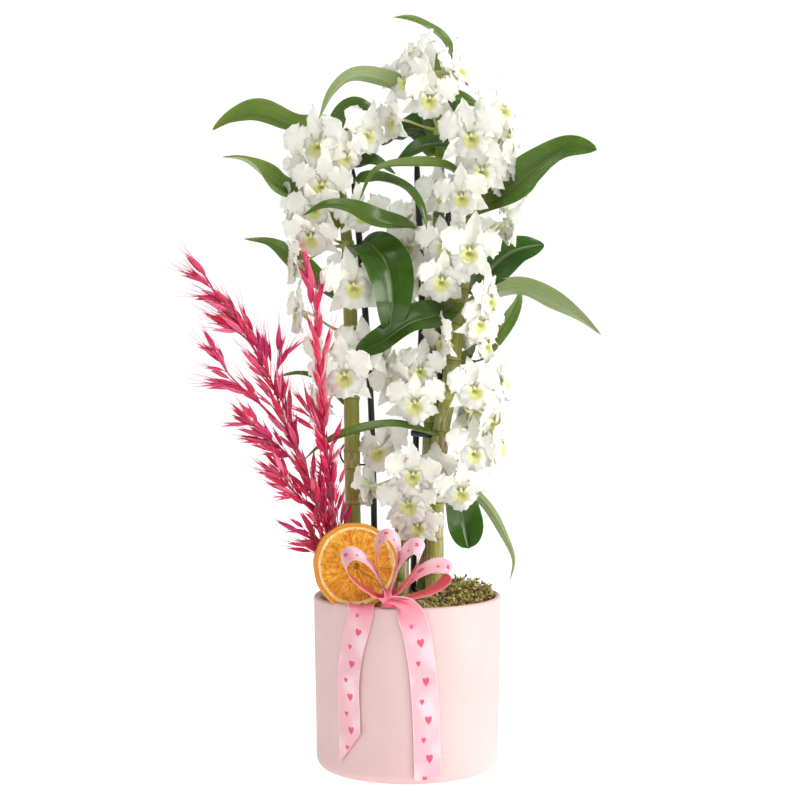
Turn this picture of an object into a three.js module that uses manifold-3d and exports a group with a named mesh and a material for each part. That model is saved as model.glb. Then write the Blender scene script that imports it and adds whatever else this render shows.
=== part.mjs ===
// A white dendrobium orchid with three flowering canes, in a matte ceramic pot, dressed with a
// slice of dried orange, two sprays of dyed oat grass and a satin ribbon bow.
// Millimetres, +Z up, the origin at the centre of the pot's underside, -Y to the front.

import * as THREE from 'three';
import { mergeVertices } from 'three/addons/utils/BufferGeometryUtils.js';
import Module from 'manifold-3d';

const wasm = await Module();
wasm.setup();

// ---------------------------------------------------------------- driving dimensions

const CLEARANCE = 0.3; // air left between two pieces that touch

const POT = { top: 70.5, low: 68.5, height: 130, wall: 4.5, floor: 8, foot: 6, sides: 30 };
const MIX = { top: 118, sides: 18, shy: 1 };
const MOSS = {
  rim: 122, swell: 5, mound: 15, moundX: 38, moundY: 8, moundWidth: 34, sides: 18, rings: [0.75, 0.35] };

const CANE = { sides: 6, internode: 27, swelling: 0.9, thinsFrom: 0.45 };
const COLLAR = { radius: 8.3, height: 6, sides: 6 };
const STAKE = { radius: 2.5, sides: 6 };
const CLIP = { height: 5, wall: 2.2, sides: 8 };

const LEAF = { thickness: 1.2, segments: 6, base: 0.3, seat: 0.88, narrows: 3.6 };
const SEPAL = { length: 23.5, half: 5.6, reach: 0.5, segments: 2, lean: 4, curl: 18 };
const PETAL = { length: 23, half: 9, reach: 0.62, segments: 3, lean: 26, curl: 34 };
const LIP = { length: 18.5, half: 7.8, reach: 0.62, segments: 2, lean: 66, curl: 66, fold: 0.5 };
const FLOWER = {
  // counter-clockwise, as seen from the front
  blades: [
    { angle: 18, ...PETAL }, { angle: 90, ...SEPAL }, { angle: 162, ...PETAL },
    { angle: 212, ...SEPAL }, { angle: 270, ...LIP }, { angle: 328, ...SEPAL }],
  thickness: 0.9,
  core: 2.8,
  column: 4.5,
};

const SLICE = { radius: 31.5, rind: 3.2, pith: 2.6, thickness: 6, segments: 8, sink: 1.2, hub: 3.5 };
const OAT = { stem: 1.1, branch: 0.45, shortest: 5, varies: 9, spikelet: 24, half: 2.1, tip: 0.12, sides: 3 };
const RIBBON = { width: 20, thickness: 0.6, stand: 0.9, cut: 6 };

const MATERIALS = {
  pot_ceramic: { color: 0xf3d9d2, roughness: 0.75 },
  potting_mix: { color: 0x4a3524, roughness: 1.0 },
  moss: { color: 0x6f6a32, roughness: 1.0 },
  cane: { color: 0x9aa25c, roughness: 0.6 },
  leaf: { color: 0x2f6a2a, roughness: 0.4 },
  petal: { color: 0xfbfaf3, roughness: 0.6 },
  stake: { color: 0x1c2422, roughness: 0.4 },
  orange: { color: 0xd98a22, roughness: 0.6 },
  oat: { color: 0xc4285f, roughness: 0.8 },
  ribbon: { color: 0xf394ad, roughness: 0.35 },
};

// ---------------------------------------------------------------- the plant, from base to tip

// Centre line of each cane, from inside the potting mix to its tip, and its thickness there.
const CANES = {
  left: { radius: 5.8, tip: 3.2, path: [
    [-40, 6, 92], [-41, 6, 180], [-42, 8, 260], [-43, 10, 340], [-46, 10, 400], [-52, 8, 450], [-56, 6, 488]] },
  right: { radius: 6.0, tip: 3.2, path: [
    [20, -2, 92], [20, -2, 150], [25, -2, 250], [32, -2, 290], [39.5, 0, 351], [48.5, 2, 415], [55, 4, 463],
    [58, 4, 493]] },
  middle: { radius: 5.5, tip: 2.8, path: [
    [13, 14, 92], [13, 14, 140], [18.5, 14, 268], [22, 14, 351], [24, 14, 426], [24, 14, 490], [22, 14, 536]] },
};

// A leaf starts on its cane at a height, then runs through the points to its tip.
// face is where its upper side looks, at the base and at the tip; half is its half width.
const LEAVES = [
  { name: 'upper_left', cane: 'left', at: 483, half: 10, fold: 0.3, face: [[0, -0.5, 1], [-0.3, -0.6, 0.8]],
    path: [[-82, 6, 482], [-113, 18, 495], [-131, 26, 492], [-148, 30, 480]] },
  { name: 'second_left', cane: 'left', at: 407, half: 12, fold: 0.2, face: [[0, -0.9, 0.5], [-0.4, -0.5, 0.8]],
    path: [[-74, 4, 424], [-96, -12, 435], [-119, -32, 453], [-134, -42, 455]] },
  { name: 'third_left', cane: 'left', at: 350, half: 8, fold: 0.2, face: [[0, -0.6, 0.8], [-0.3, -0.6, 0.7]],
    path: [[-66, 26, 363], [-85, 34, 380], [-104, 40, 394], [-125, 42, 398]] },
  { name: 'low_left', cane: 'left', at: 272, half: 3.6, fold: 0.2, face: [[0, -0.6, 0.8], [0, -0.6, 0.8]],
    path: [[-65, 28, 290], [-82, 30, 295], [-99, 26, 293]] },
  { name: 'back_left', cane: 'left', at: 461, half: 8.5, fold: 0.2, face: [[0, -0.8, 0.6], [0.4, -0.8, 0.4]],
    path: [[-52, 26, 480], [-39, 46, 500], [-20, 66, 494]] },
  { name: 'short_left', cane: 'left', at: 461, half: 7.5, fold: 0.2, face: [[0, -0.6, 0.8], [0.4, -0.6, 0.6]],
    path: [[-40, -4, 452], [-25, -12, 453], [-9, -16, 444]] },
  { name: 'bowed_left', cane: 'left', at: 434, half: 7, fold: 0.25, face: [[0, -0.5, 0.9], [0.9, -0.6, 0.3]],
    path: [[-41, -14, 438], [-19, -24, 439], [-1, -30, 432], [9, -32, 419], [14, -32, 403]] },
  { name: 'hanging_left', cane: 'left', at: 380, half: 15, fold: 0.12, face: [[0.2, -0.7, 0.8], [0.3, -1, 0.1]],
    path: [[-31, -16, 394], [-16, -27, 379], [-11, -31, 351], [-14, -28, 327]] },
  { name: 'crown_front', cane: 'middle', at: 490, half: 6, fold: 0.3, face: [[0, -0.5, 0.9], [-0.6, -0.7, 0.6]],
    path: [[5, -2, 504], [-17, -18, 513], [-40, -34, 514], [-54, -42, 502], [-64, -46, 482]] },
  { name: 'crown_tip', cane: 'middle', at: 530, half: 5, fold: 0.3, face: [[1, -0.4, 0.4], [0.2, -0.7, 0.8]],
    path: [[31, 18, 537], [27, 18, 546], [15, 12, 555], [2, 6, 560], [-10, 0, 561]] },
  { name: 'crown_back', cane: 'middle', at: 470, half: 11, fold: 0.2, face: [[0, -0.8, 0.6], [0.3, -0.7, 0.6]],
    path: [[22, 34, 492], [33, 54, 506], [58, 68, 502]] },
  { name: 'back_middle', cane: 'middle', at: 460, half: 11, fold: 0.15, face: [[0, -0.8, 0.6], [-0.3, -0.8, 0.5]],
    path: [[13, 36, 480], [-4, 58, 482], [-20, 74, 472]] },
  { name: 'folded_middle', cane: 'middle', at: 396, half: 8, fold: 0.25, face: [[0, -0.6, 0.8], [-0.3, -0.8, 0.5]],
    path: [[2, -17, 405], [-22, -32, 409], [-42, -38, 418], [-59, -40, 420], [-76, -38, 413]] },
  { name: 'low_middle', cane: 'middle', at: 212, half: 12.5, fold: 0.12, face: [[0.3, -0.8, 0.5], [0.2, -1, 0]],
    path: [[35, 25, 209], [43, 29, 184], [47, 27, 161]] },
  { name: 'side_middle', cane: 'middle', at: 262, half: 5, fold: 0.2, face: [[0.4, -0.8, 0.4], [0.5, -0.8, 0.2]],
    path: [[38, 28, 284], [48, 34, 301], [54, 36, 311]] },
  { name: 'front_right', cane: 'right', at: 464, half: 8, fold: 0.2, face: [[0, -0.6, 0.8], [-0.2, -0.7, 0.7]],
    path: [[35, -8, 466], [13, -12, 465], [-10, -15, 452]] },
  { name: 'long_right', cane: 'right', at: 420, half: 5, fold: 0.35, face: [[0, -0.5, 0.9], [-0.7, -0.7, 0.3]],
    path: [[34, -16, 446], [2, -28, 450], [-23, -35, 445], [-35, -37, 424]] },
  { name: 'broad_right', cane: 'right', at: 420, half: 13, fold: 0.15, face: [[0, -0.8, 0.6], [0.1, -0.8, 0.6]],
    path: [[73, -6, 430], [94, -18, 448], [116, -32, 461], [137, -42, 460]] },
  { name: 'second_right', cane: 'right', at: 357, half: 13, fold: 0.15, face: [[0, -0.8, 0.6], [0.2, -0.8, 0.6]],
    path: [[60, 14, 371], [80, 30, 387], [105, 44, 394]] },
  { name: 'drooping_right', cane: 'right', at: 344, half: 8.5, fold: 0.2, face: [[0, -0.3, 1], [0.5, 0.3, 0.8]],
    path: [[64, 14, 356], [84, 12, 360], [107, 0, 351], [127, -14, 339], [142, -26, 326]] },
  { name: 'rising_right', cane: 'right', at: 306, half: 6.5, fold: 0.2, face: [[0.5, -0.8, 0.3], [0.7, -0.7, 0]],
    path: [[57, 18, 314], [73, 26, 332], [84, 30, 351], [86, 30, 368]] },
  { name: 'curled_right', cane: 'right', at: 350, half: 11.5, fold: 0.2, face: [[0, -0.8, 0.6], [-0.8, -0.6, 0]],
    path: [[24, -18, 341], [3, -28, 335], [-17, -34, 322], [-33, -34, 312], [-31, -32, 297]] },
  { name: 'level_right', cane: 'right', at: 250, half: 4.8, fold: 0.3, face: [[0, -0.5, 0.9], [-0.5, -0.6, 0.6]],
    path: [[9, -22, 255], [-13, -30, 259], [-45, -34, 253], [-64, -34, 244], [-76, -32, 234]] },
  { name: 'trailing_right', cane: 'right', at: 208, half: 4.5, fold: 0.3, face: [[0.2, -0.5, 0.8], [0.9, -0.4, 0]],
    path: [[44, -8, 211], [60, -10, 198], [73, -10, 176], [80, -10, 157], [77, -10, 142]] },
];

// Each truss of blooms springs from a node of its cane. A bloom is [x, y, z, azimuth, lift, turn, size]:
// its throat, the way it looks (0 to the front, 90 to the right, 180 to the back; lift is up),
// its turn about that line in degrees, and its size against a full bloom.
const TRUSSES = [
  { name: 'left_top', cane: 'left', at: 474, blooms: [
    [-65, -22, 465, -20, 5, 6, 1.1], [-32, -12, 474, 40, 5, -12, 1.0], [-72, 32, 468, -165, 10, 0, 1.0]] },
  { name: 'left_shoulder', cane: 'left', at: 447, blooms: [
    [-75, -8, 450, -60, -25, 10, 0.95], [-62, -27, 436, -12, -8, -8, 1.0], [-47, -24, 458, 22, -25, 8, 0.85]] },
  { name: 'left_upper', cane: 'left', at: 420, blooms: [
    [-67, -25, 419, -20, -14, 11, 0.88], [-36, -18, 417, 34, -25, 15, 0.95], [-84, 4, 421, -80, 0, 0, 0.95]] },
  { name: 'left_middle', cane: 'left', at: 393, blooms: [
    [-70, -18, 400, -28, -35, -6, 0.95], [-83, 0, 380, -78, -5, 8, 1.0]] },
  { name: 'left_heart', cane: 'left', at: 366, blooms: [
    [-40, -26, 362, 6, 0, 4, 1.1], [-40, 36, 372, 170, 5, 0, 1.0]] },
  { name: 'left_lower', cane: 'left', at: 326, blooms: [
    [-79, 0, 342, -72, 0, 0, 0.95], [-32, -24, 316, 14, 12, -6, 0.95], [-64, -10, 312, -75, -8, 8, 0.85]] },
  { name: 'left_low', cane: 'left', at: 292, blooms: [
    [-46, -28, 297, -8, -6, 4, 1.1], [-62, -3, 276, -110, -12, 0, 0.9], [-40, 38, 300, 172, 0, 8, 1.0]] },
  { name: 'crown', cane: 'middle', at: 520, blooms: [
    [5, -3, 531, -53, 40, 5, 1.0], [36, 6, 522, 62, 24, -8, 0.9], [0, -12, 513, -27, 0, 10, 0.9],
    [20, 38, 524, 172, 18, 0, 0.95]] },
  { name: 'middle_top', cane: 'middle', at: 478, blooms: [
    [16, -16, 500, 2, -10, -5, 0.95], [-9, -4, 485, -55, -10, 8, 0.85]] },
  { name: 'middle_upper', cane: 'middle', at: 426, blooms: [
    [26, -14, 430, -14, -6, 4, 0.85], [10, 42, 412, -172, 6, 0, 1.0]] },
  { name: 'middle_heart', cane: 'middle', at: 372, blooms: [
    [2, -6, 392, -24, 0, -10, 0.85], [27, -20, 393, -5, -4, 6, 0.9],
    [-3, 0, 362, -65, 0, 5, 0.9], [25, -20, 367, 4, -15, -8, 0.95], [16, 42, 366, 178, 0, 8, 1.0]] },
  { name: 'middle_lower', cane: 'middle', at: 298, blooms: [
    [9, -20, 300, 2, 2, -6, 0.85], [-8, -14, 291, -28, -5, 8, 0.9], [5, -28, 277, 2, -20, 4, 0.95],
    [-17, 2, 306, -60, 15, 0, 0.85], [14, 42, 296, 174, 0, 5, 1.0]] },
  { name: 'middle_low', cane: 'middle', at: 222, blooms: [
    [-19, -12, 240, -32, 6, 6, 1.0], [4, -26, 223, 0, 0, -5, 0.95], [-28, -4, 212, -122, -10, 0, 0.9],
    [1, -24, 202, -10, -10, 8, 0.95], [7, -18, 186, 4, -32, 0, 0.9]] },
  { name: 'right_top', cane: 'right', at: 478, blooms: [
    [47, -24, 471, -8, 3, 5, 1.1], [68, -12, 491, 38, 20, -8, 0.95], [72, 0, 474, 66, 0, 8, 0.9],
    [56, 32, 482, 172, 4, 0, 1.0]] },
  { name: 'right_shoulder', cane: 'right', at: 451, blooms: [
    [54, -22, 447, 6, -6, -8, 0.9], [77, -4, 454, 70, -10, 5, 0.95], [40, -26, 428, -10, -12, 5, 0.9],
    [71, 8, 432, 64, -12, 8, 0.9]] },
  { name: 'right_upper', cane: 'right', at: 397, blooms: [
    [72, -6, 408, 108, -10, 5, 0.95], [45, -22, 388, 5, -5, -5, 1.05], [48, 34, 398, 176, 0, 6, 1.0]] },
  { name: 'right_heart', cane: 'right', at: 330, blooms: [
    [58, -15, 352, 58, 2, 6, 0.95], [52, -18, 336, 38, -20, -6, 0.85], [28, -20, 322, -68, -10, 5, 0.85],
    [56, -6, 319, 62, -4, 0, 0.9], [42, 32, 330, 172, 0, 5, 1.0]] },
  { name: 'right_lower', cane: 'right', at: 280, blooms: [
    [48, -21, 286, 20, 0, 6, 0.95], [69, 2, 291, 76, 10, -8, 1.0], [60, -8, 262, 58, -20, 6, 1.0],
    [48, 32, 266, 160, 0, 0, 1.0]] },
  { name: 'right_low', cane: 'right', at: 226, blooms: [
    [67, 0, 243, 70, -10, 5, 1.0], [48, -16, 239, 26, 0, -6, 0.95], [39, -26, 212, 5, -25, 0, 0.95],
    [23, -14, 224, -20, -8, 6, 0.9]] },
];

// Black support stakes, from inside the mix to their tops.
const STAKES = {
  left: [[-24, 16, 95], [-27, 16, 256], [-32, 15, 344], [-41, 16, 450]],
  middle: [[4, 21, 95], [7, 21, 259], [11, 22, 340], [7, 24, 458]],
  right: [[25.5, 9, 95], [25, 8, 151], [24.7, 6, 276], [31, 5.5, 422]],
};

// Clips that hold a cane to its stake, at these heights.
const CLIPS = [
  { name: 'clip_left_upper', cane: 'left', stake: 'left', at: 440.5 },
  { name: 'clip_middle_upper', cane: 'middle', stake: 'right', at: 349 },
  { name: 'clip_middle_lower', cane: 'middle', stake: 'middle', at: 250 },
];

// The cut-off old cane and the young shoots beside it.
const OLD_STUB = { radius: 5.6, sides: 7, path: [[-5, 0, 98], [-4.5, 0, 150], [-4, 0, 183]] };
const SHOOT = { radius: 3.2, tip: 0.3, sides: 5, paths: [
  [[-3, -2, 156], [4, -8, 166], [9, -9, 180]],
  [[-5, -2, 140], [-8, -9, 150], [-9, -10, 160]]] };

// The orange slice stands in the moss behind the front of the rim, turned a little to the right.
const SLICE_PLACE = { x: -37, y: -35, z: 156, turn: 14, lean: 6 };

// Oat stems, from inside the mix to the drooping tip: where along each the spikelets start, and
// how many there are.
const OAT_SPRAYS = [
  { name: 'left', seed: 7, stems: [
    { from: 0.28, count: 12, path: [[-47, -8, 100], [-54, -14, 180], [-87, -18, 248], [-104, -22, 301],
      [-117, -24, 333], [-134, -26, 346], [-150, -28, 362]] },
    { from: 0.22, count: 12, path: [[-47, -8, 100], [-56, -17, 169], [-82, -25, 211], [-109, -29, 252],
      [-133, -30, 290], [-151, -32, 326]] }] },
  { name: 'right', seed: 23, stems: [
    { from: 0.22, count: 11, path: [[-52, 2, 100], [-63, -10, 180], [-66, -26, 233], [-69, -36, 278],
      [-70, -40, 322], [-73, -42, 359], [-80, -42, 392]] }] },
];

// The bow sits on the front of the rim: four loops, a knot and two tails down the pot.
const BOW = { x: -14, y: -66, z: 134.4, knot: [7, 6, 4.6], start: 3, apart: 0.7, steps: 10, gather: 0.22 };
// Each loop points this way round in the bow's face, and leans forward or back out of it.
const LOOPS = [
  { angle: 127, lean: -14, length: 50, half: 7 },
  { angle: 90, lean: 14, length: 51, half: 7 },
  { angle: 66, lean: -10, length: 50, half: 6.5 },
  { angle: 22, lean: 8, length: 47, half: 9 },
];
// A tail's centre line as [x, z]: it leaves the knot, crosses the rim and lies down the outside.
const TAILS = [
  { line: [[-33, 128], [-42, 104], [-43.5, 76], [-42, 48], [-44, 20]] },
  { line: [[2, 128], [10, 96], [13, 62], [14.5, 34], [14.5, 12]] },
];

// ---------------------------------------------------------------- closed bodies

const vector = (p) => new THREE.Vector3(...p);
const radians = THREE.MathUtils.degToRad;

// A seeded random number from 0 to 1.
function randomSource(seed) {
  let state = seed;
  return () => {
    state = (state * 1664525 + 1013904223) % 4294967296;
    return state / 4294967296;
  };
}

// A closed geometry, its shared corners merged and its collapsed triangles dropped, as a solid.
function solidOf(geometry) {
  const bare = geometry.index ? geometry.toNonIndexed() : geometry.clone();
  for (const name of Object.keys(bare.attributes)) if (name !== 'position') bare.deleteAttribute(name);
  const merged = mergeVertices(bare, 1e-3);
  const at = merged.attributes.position.array;
  const corners = merged.index.array;
  const kept = [];
  let volume = 0;
  for (let i = 0; i < corners.length; i += 3) {
    const [a, b, c] = corners.slice(i, i + 3);
    if (a === b || b === c || c === a) continue;
    kept.push(a, b, c);
    const [p, q, r] = [a, b, c].map((k) => new THREE.Vector3(at[3 * k], at[3 * k + 1], at[3 * k + 2]));
    volume += p.dot(q.cross(r));
  }
  if (volume < 0) kept.reverse();
  return new wasm.Manifold(new wasm.Mesh({
    numProp: 3, vertProperties: new Float32Array(at), triVerts: new Uint32Array(kept) }));
}

// A body through rings of equally many points, closed at both ends by a flat fan. The second half of
// each ring is split along the other diagonal, so that both sides of a thin blade twist alike.
function loft(rings) {
  const count = rings[0].length;
  const points = rings.flat();
  const index = [];
  for (let i = 0; i + 1 < rings.length; i += 1) {
    for (let j = 0; j < count; j += 1) {
      const a = i * count + j;
      const b = i * count + ((j + 1) % count);
      if (2 * j < count) index.push(a, b, b + count, a, b + count, a + count);
      else index.push(a, b, a + count, b, b + count, a + count);
    }
  }
  const last = (rings.length - 1) * count;
  for (let j = 1; j + 1 < count; j += 1) {
    index.push(0, j + 1, j);
    index.push(last, last + j, last + j + 1);
  }
  const geometry = new THREE.BufferGeometry().setFromPoints(points);
  geometry.setIndex(index);
  return solidOf(geometry);
}

const join = (solids) => solids.reduce((all, one) => all.add(one));

// Evenly spaced points and directions on a smooth curve through the given points.
function along(path, segments) {
  const curve = new THREE.CatmullRomCurve3(path.map(vector), false, 'centripetal');
  const points = curve.getSpacedPoints(segments);
  const directions = points.map((_, i) => curve.getTangentAt(i / segments));
  return { points, directions };
}

// The point of a path at a height.
function atHeight(path, z) {
  const next = Math.max(1, path.findIndex((p) => p[2] >= z));
  const [a, b] = [vector(path[next - 1]), vector(path[next])];
  return a.lerp(b, (z - a.z) / (b.z - a.z));
}

// A round rod along points: radius is a function of how far along it is, from 0 to 1.
function rod(points, directions, radius, sides) {
  const last = points.length - 1;
  return loft(points.map((point, i) => {
    const forward = directions[i];
    const across = new THREE.Vector3(0, 1, 0).cross(forward);
    if (across.lengthSq() < 0.05) across.set(1, 0, 0).cross(forward);
    across.normalize();
    const up = forward.clone().cross(across).normalize();
    return Array.from({ length: sides }, (_, k) => {
      const turn = (2 * Math.PI * k) / sides;
      const r = radius(i / last);
      return point.clone().addScaledVector(across, r * Math.cos(turn)).addScaledVector(up, r * Math.sin(turn));
    });
  }));
}

// A thin blade: a ridge in the middle of each side and thin edges, with an outline half(t) wide.
// fold lifts its edges towards its face; grow makes the space it needs, with room all round.
function blade({ points, faces, half, thickness, fold = 0, grow = 0 }) {
  const last = points.length - 1;
  return loft(points.map((point, i) => {
    const t = i / last;
    const forward = points[Math.min(i + 1, last)].clone().sub(points[Math.max(i - 1, 0)]).normalize();
    const across = forward.clone().cross(faces[i]).normalize();
    const face = across.clone().cross(forward).normalize();
    const centre = point.clone();
    if (grow > 0 && i === 0) centre.addScaledVector(forward, -grow);
    if (grow > 0 && i === last) centre.addScaledVector(forward, 2 * grow);
    const width = half(t) + grow;
    const lift = fold * half(t);
    const ridge = t === 1 && grow === 0 ? 0 : thickness / 2 + grow;
    const corner = (side, height) => centre.clone()
      .addScaledVector(across, side * width)
      .addScaledVector(face, lift * Math.abs(side) + height);
    if (grow === 0) return [corner(-1, 0), corner(0, ridge), corner(1, 0), corner(0, -ridge)];
    return [corner(-1, -grow), corner(-1, grow), corner(0, ridge),
      corner(1, grow), corner(1, -grow), corner(0, -ridge)];
  }));
}

// ---------------------------------------------------------------- pot, mix and moss

function pot(grow = 0) {
  const { foot, sides } = POT;
  const [top, low, wall] = [POT.top + grow, POT.low + grow, POT.wall + 2 * grow];
  const [height, floor] = [POT.height + grow, POT.floor + grow];
  const profile = new THREE.Path();
  profile.moveTo(0, -grow);
  profile.lineTo(low - foot, -grow);
  profile.quadraticCurveTo(low, -grow, low, foot);
  profile.lineTo(top, height - wall / 2);
  profile.quadraticCurveTo(top, height, top - wall / 2, height);
  profile.quadraticCurveTo(top - wall, height, top - wall, height - wall / 2);
  profile.lineTo(low - wall, floor + foot);
  profile.quadraticCurveTo(low - wall, floor, low - wall - foot, floor);
  profile.lineTo(0, floor);
  return turned(profile.getPoints(2), sides);
}

// A profile of [radius, height] points turned about Z.
function turned(points, sides) {
  const geometry = new THREE.LatheGeometry(points.map((p) => new THREE.Vector2(Math.max(p.x, 0), p.y)), sides);
  geometry.rotateX(Math.PI / 2);
  return solidOf(geometry);
}

const insideRadius = (z) => THREE.MathUtils.lerp(POT.low, POT.top, z / POT.height) - POT.wall;

function pottingMix() {
  const profile = new THREE.Path();
  profile.moveTo(0, POT.floor + CLEARANCE);
  profile.lineTo(POT.low - POT.wall - POT.foot, POT.floor + CLEARANCE);
  profile.lineTo(POT.low - POT.wall - MIX.shy, POT.floor + POT.foot);
  profile.lineTo(insideRadius(MIX.top) - MIX.shy, MIX.top);
  profile.lineTo(0, MIX.top);
  return turned(profile.getPoints(1), MIX.sides);
}

// Height of the moss over its disc: it rises from the rim and heaps up at the right.
function mossHeight(x, y, random) {
  const spread = ((x - MOSS.moundX) ** 2 + (y - MOSS.moundY) ** 2) / MOSS.moundWidth ** 2;
  return MOSS.rim + MOSS.swell * (0.4 + 0.6 * random()) + MOSS.mound * Math.exp(-1.5 * spread);
}

function moss() {
  const random = randomSource(11);
  const outer = insideRadius(MOSS.rim) - MIX.shy;
  const ring = (radius, height) => Array.from({ length: MOSS.sides }, (_, k) => {
    const turn = (2 * Math.PI * k) / MOSS.sides;
    const [x, y] = [radius * Math.cos(turn), radius * Math.sin(turn)];
    return new THREE.Vector3(x, y, height(x, y));
  });
  const bumpy = (x, y) => mossHeight(x, y, random);
  return loft([
    ring(outer, () => MIX.top + CLEARANCE),
    ring(outer, () => MOSS.rim),
    ...MOSS.rings.map((share) => ring(share * outer, bumpy)),
  ]);
}

// ---------------------------------------------------------------- canes, stakes and clips

// A cane thins to its tip over the upper half of its height.
const taper = ({ radius, tip }, t) => (
  THREE.MathUtils.lerp(radius, tip, THREE.MathUtils.smoothstep(t, CANE.thinsFrom, 1)));

function caneRadius(row, z) {
  const [bottom, top] = [row.path[0][2], row.path.at(-1)[2]];
  return taper(row, (z - bottom) / (top - bottom)) + CANE.swelling;
}

// A cane thickens at each of its nodes.
function cane(row, grow = 0) {
  const height = row.path.at(-1)[2] - row.path[0][2];
  const nodes = Math.round(height / CANE.internode);
  const { points, directions } = along(row.path, 2 * nodes);
  const last = points.length - 1;
  const thick = (t) => taper(row, t) + (Math.round(t * last) % 2 === 0 ? CANE.swelling : 0) + grow;
  return rod(points, directions, thick, CANE.sides);
}

function stake(path, grow = 0) {
  const { points, directions } = along(path, 5);
  return rod(points, directions, () => STAKE.radius + grow, STAKE.sides);
}

// A flat clip in the outline of two joined circles, round a cane and its stake.
function clip({ cane: caneName, stake: stakeName, at }) {
  const a = atHeight(CANES[caneName].path, at);
  const b = atHeight(STAKES[stakeName], at);
  const around = (centre, radius, from) => Array.from({ length: CLIP.sides / 2 }, (_, k) => {
    const turn = from + (Math.PI * k) / (CLIP.sides / 2 - 1);
    return [centre.x + radius * Math.cos(turn), centre.y + radius * Math.sin(turn)];
  });
  const heading = Math.atan2(b.y - a.y, b.x - a.x);
  const outline = [
    ...around(a, CANES[caneName].radius + CANE.swelling + CLIP.wall, heading + Math.PI / 2),
    ...around(b, STAKE.radius + CLIP.wall, heading - Math.PI / 2),
  ];
  const ring = (z) => outline.map(([x, y]) => new THREE.Vector3(x, y, z));
  return loft([ring(at - CLIP.height / 2), ring(at + CLIP.height / 2)]);
}

function oldStub(grow = 0) {
  const { points, directions } = along(OLD_STUB.path, 3);
  const shoots = SHOOT.paths.map((path) => {
    const shoot = along(path, 3);
    const thick = (t) => SHOOT.radius * THREE.MathUtils.lerp(1, SHOOT.tip, t) + grow;
    return rod(shoot.points, shoot.directions, thick, SHOOT.sides);
  });
  return join([rod(points, directions, () => OLD_STUB.radius + grow, OLD_STUB.sides), ...shoots]);
}

// ---------------------------------------------------------------- leaves

// A lance-shaped leaf: it clasps the cane, widens to almost half its length and narrows to a point.
function leaf({ cane: caneName, at, path, half, fold, face }, grow = 0) {
  const axis = atHeight(CANES[caneName].path, at);
  const aside = vector(path[0]).sub(axis).setZ(0).normalize();
  const start = axis.addScaledVector(aside, LEAF.seat * caneRadius(CANES[caneName], at) + CLEARANCE);
  const { points } = along([start.toArray(), ...path], LEAF.segments);
  const [from, to] = face.map(vector);
  const faces = points.map((_, i) => from.clone().lerp(to, i / LEAF.segments).normalize());
  const swell = (t) => THREE.MathUtils.lerp(LEAF.base, 1, Math.sin(Math.PI * (0.12 + 0.88 * t)));
  const outline = (t) => half * swell(t) * Math.min(1, (1 - t) * LEAF.narrows);
  return blade({ points, faces, half: outline, thickness: LEAF.thickness, fold, grow });
}

// ---------------------------------------------------------------- blooms

// One blade of a bloom, in the bloom's own frame (x right, y up, z the way it looks), as the chain
// of points over its front and over its back at each step out from the heart.
function petalChains(arm, angle, joints, grow) {
  const { length, half, reach, segments, lean, curl, fold = 0 } = arm;
  const out = new THREE.Vector3(Math.cos(radians(angle)), Math.sin(radians(angle)), 0);
  const aside = new THREE.Vector3(-out.y, out.x, 0);
  const depth = FLOWER.thickness;
  const lower = (p) => p.clone().add(new THREE.Vector3(0, 0, -grow * 2));
  const first = out.clone().multiplyScalar(FLOWER.core);
  const over = first.clone().add(new THREE.Vector3(0, 0, depth + grow));
  const under = fold === 0 ? [] : [first.clone().add(new THREE.Vector3(0, 0, -depth / 2 - grow))];
  const chains = [{ front: [joints[0], over, joints[1]], back: [lower(joints[0]), ...under, lower(joints[1])] }];
  const outline = (t) => Math.sin(Math.PI * t ** (Math.log(0.5) / Math.log(reach))) ** 0.6;
  let centre = first;
  for (let i = 1; i <= segments; i += 1) {
    const t = i / segments;
    const bend = radians(lean - curl * t);
    const forward = out.clone().multiplyScalar(Math.cos(bend)).add(new THREE.Vector3(0, 0, Math.sin(bend)));
    const face = out.clone().multiplyScalar(-Math.sin(bend)).add(new THREE.Vector3(0, 0, Math.cos(bend)));
    const step = (length - FLOWER.core) / segments + (i === segments ? 2 * grow : 0);
    centre = centre.clone().addScaledVector(forward, step);
    const open = i === segments ? 0 : half * outline(t);
    const spot = (side, height) => centre.clone()
      .addScaledVector(aside, side * (open + grow))
      .addScaledVector(face, Math.abs(side) * fold * open + height);
    const ridge = i === segments ? 0 : depth;
    chains.push({
      front: [spot(-1, grow), spot(0, ridge + grow), spot(1, grow)],
      back: [spot(-1, -grow), ...(fold === 0 ? [] : [spot(0, -ridge / 2 - grow)]), spot(1, -grow)],
    });
  }
  return chains;
}

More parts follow.
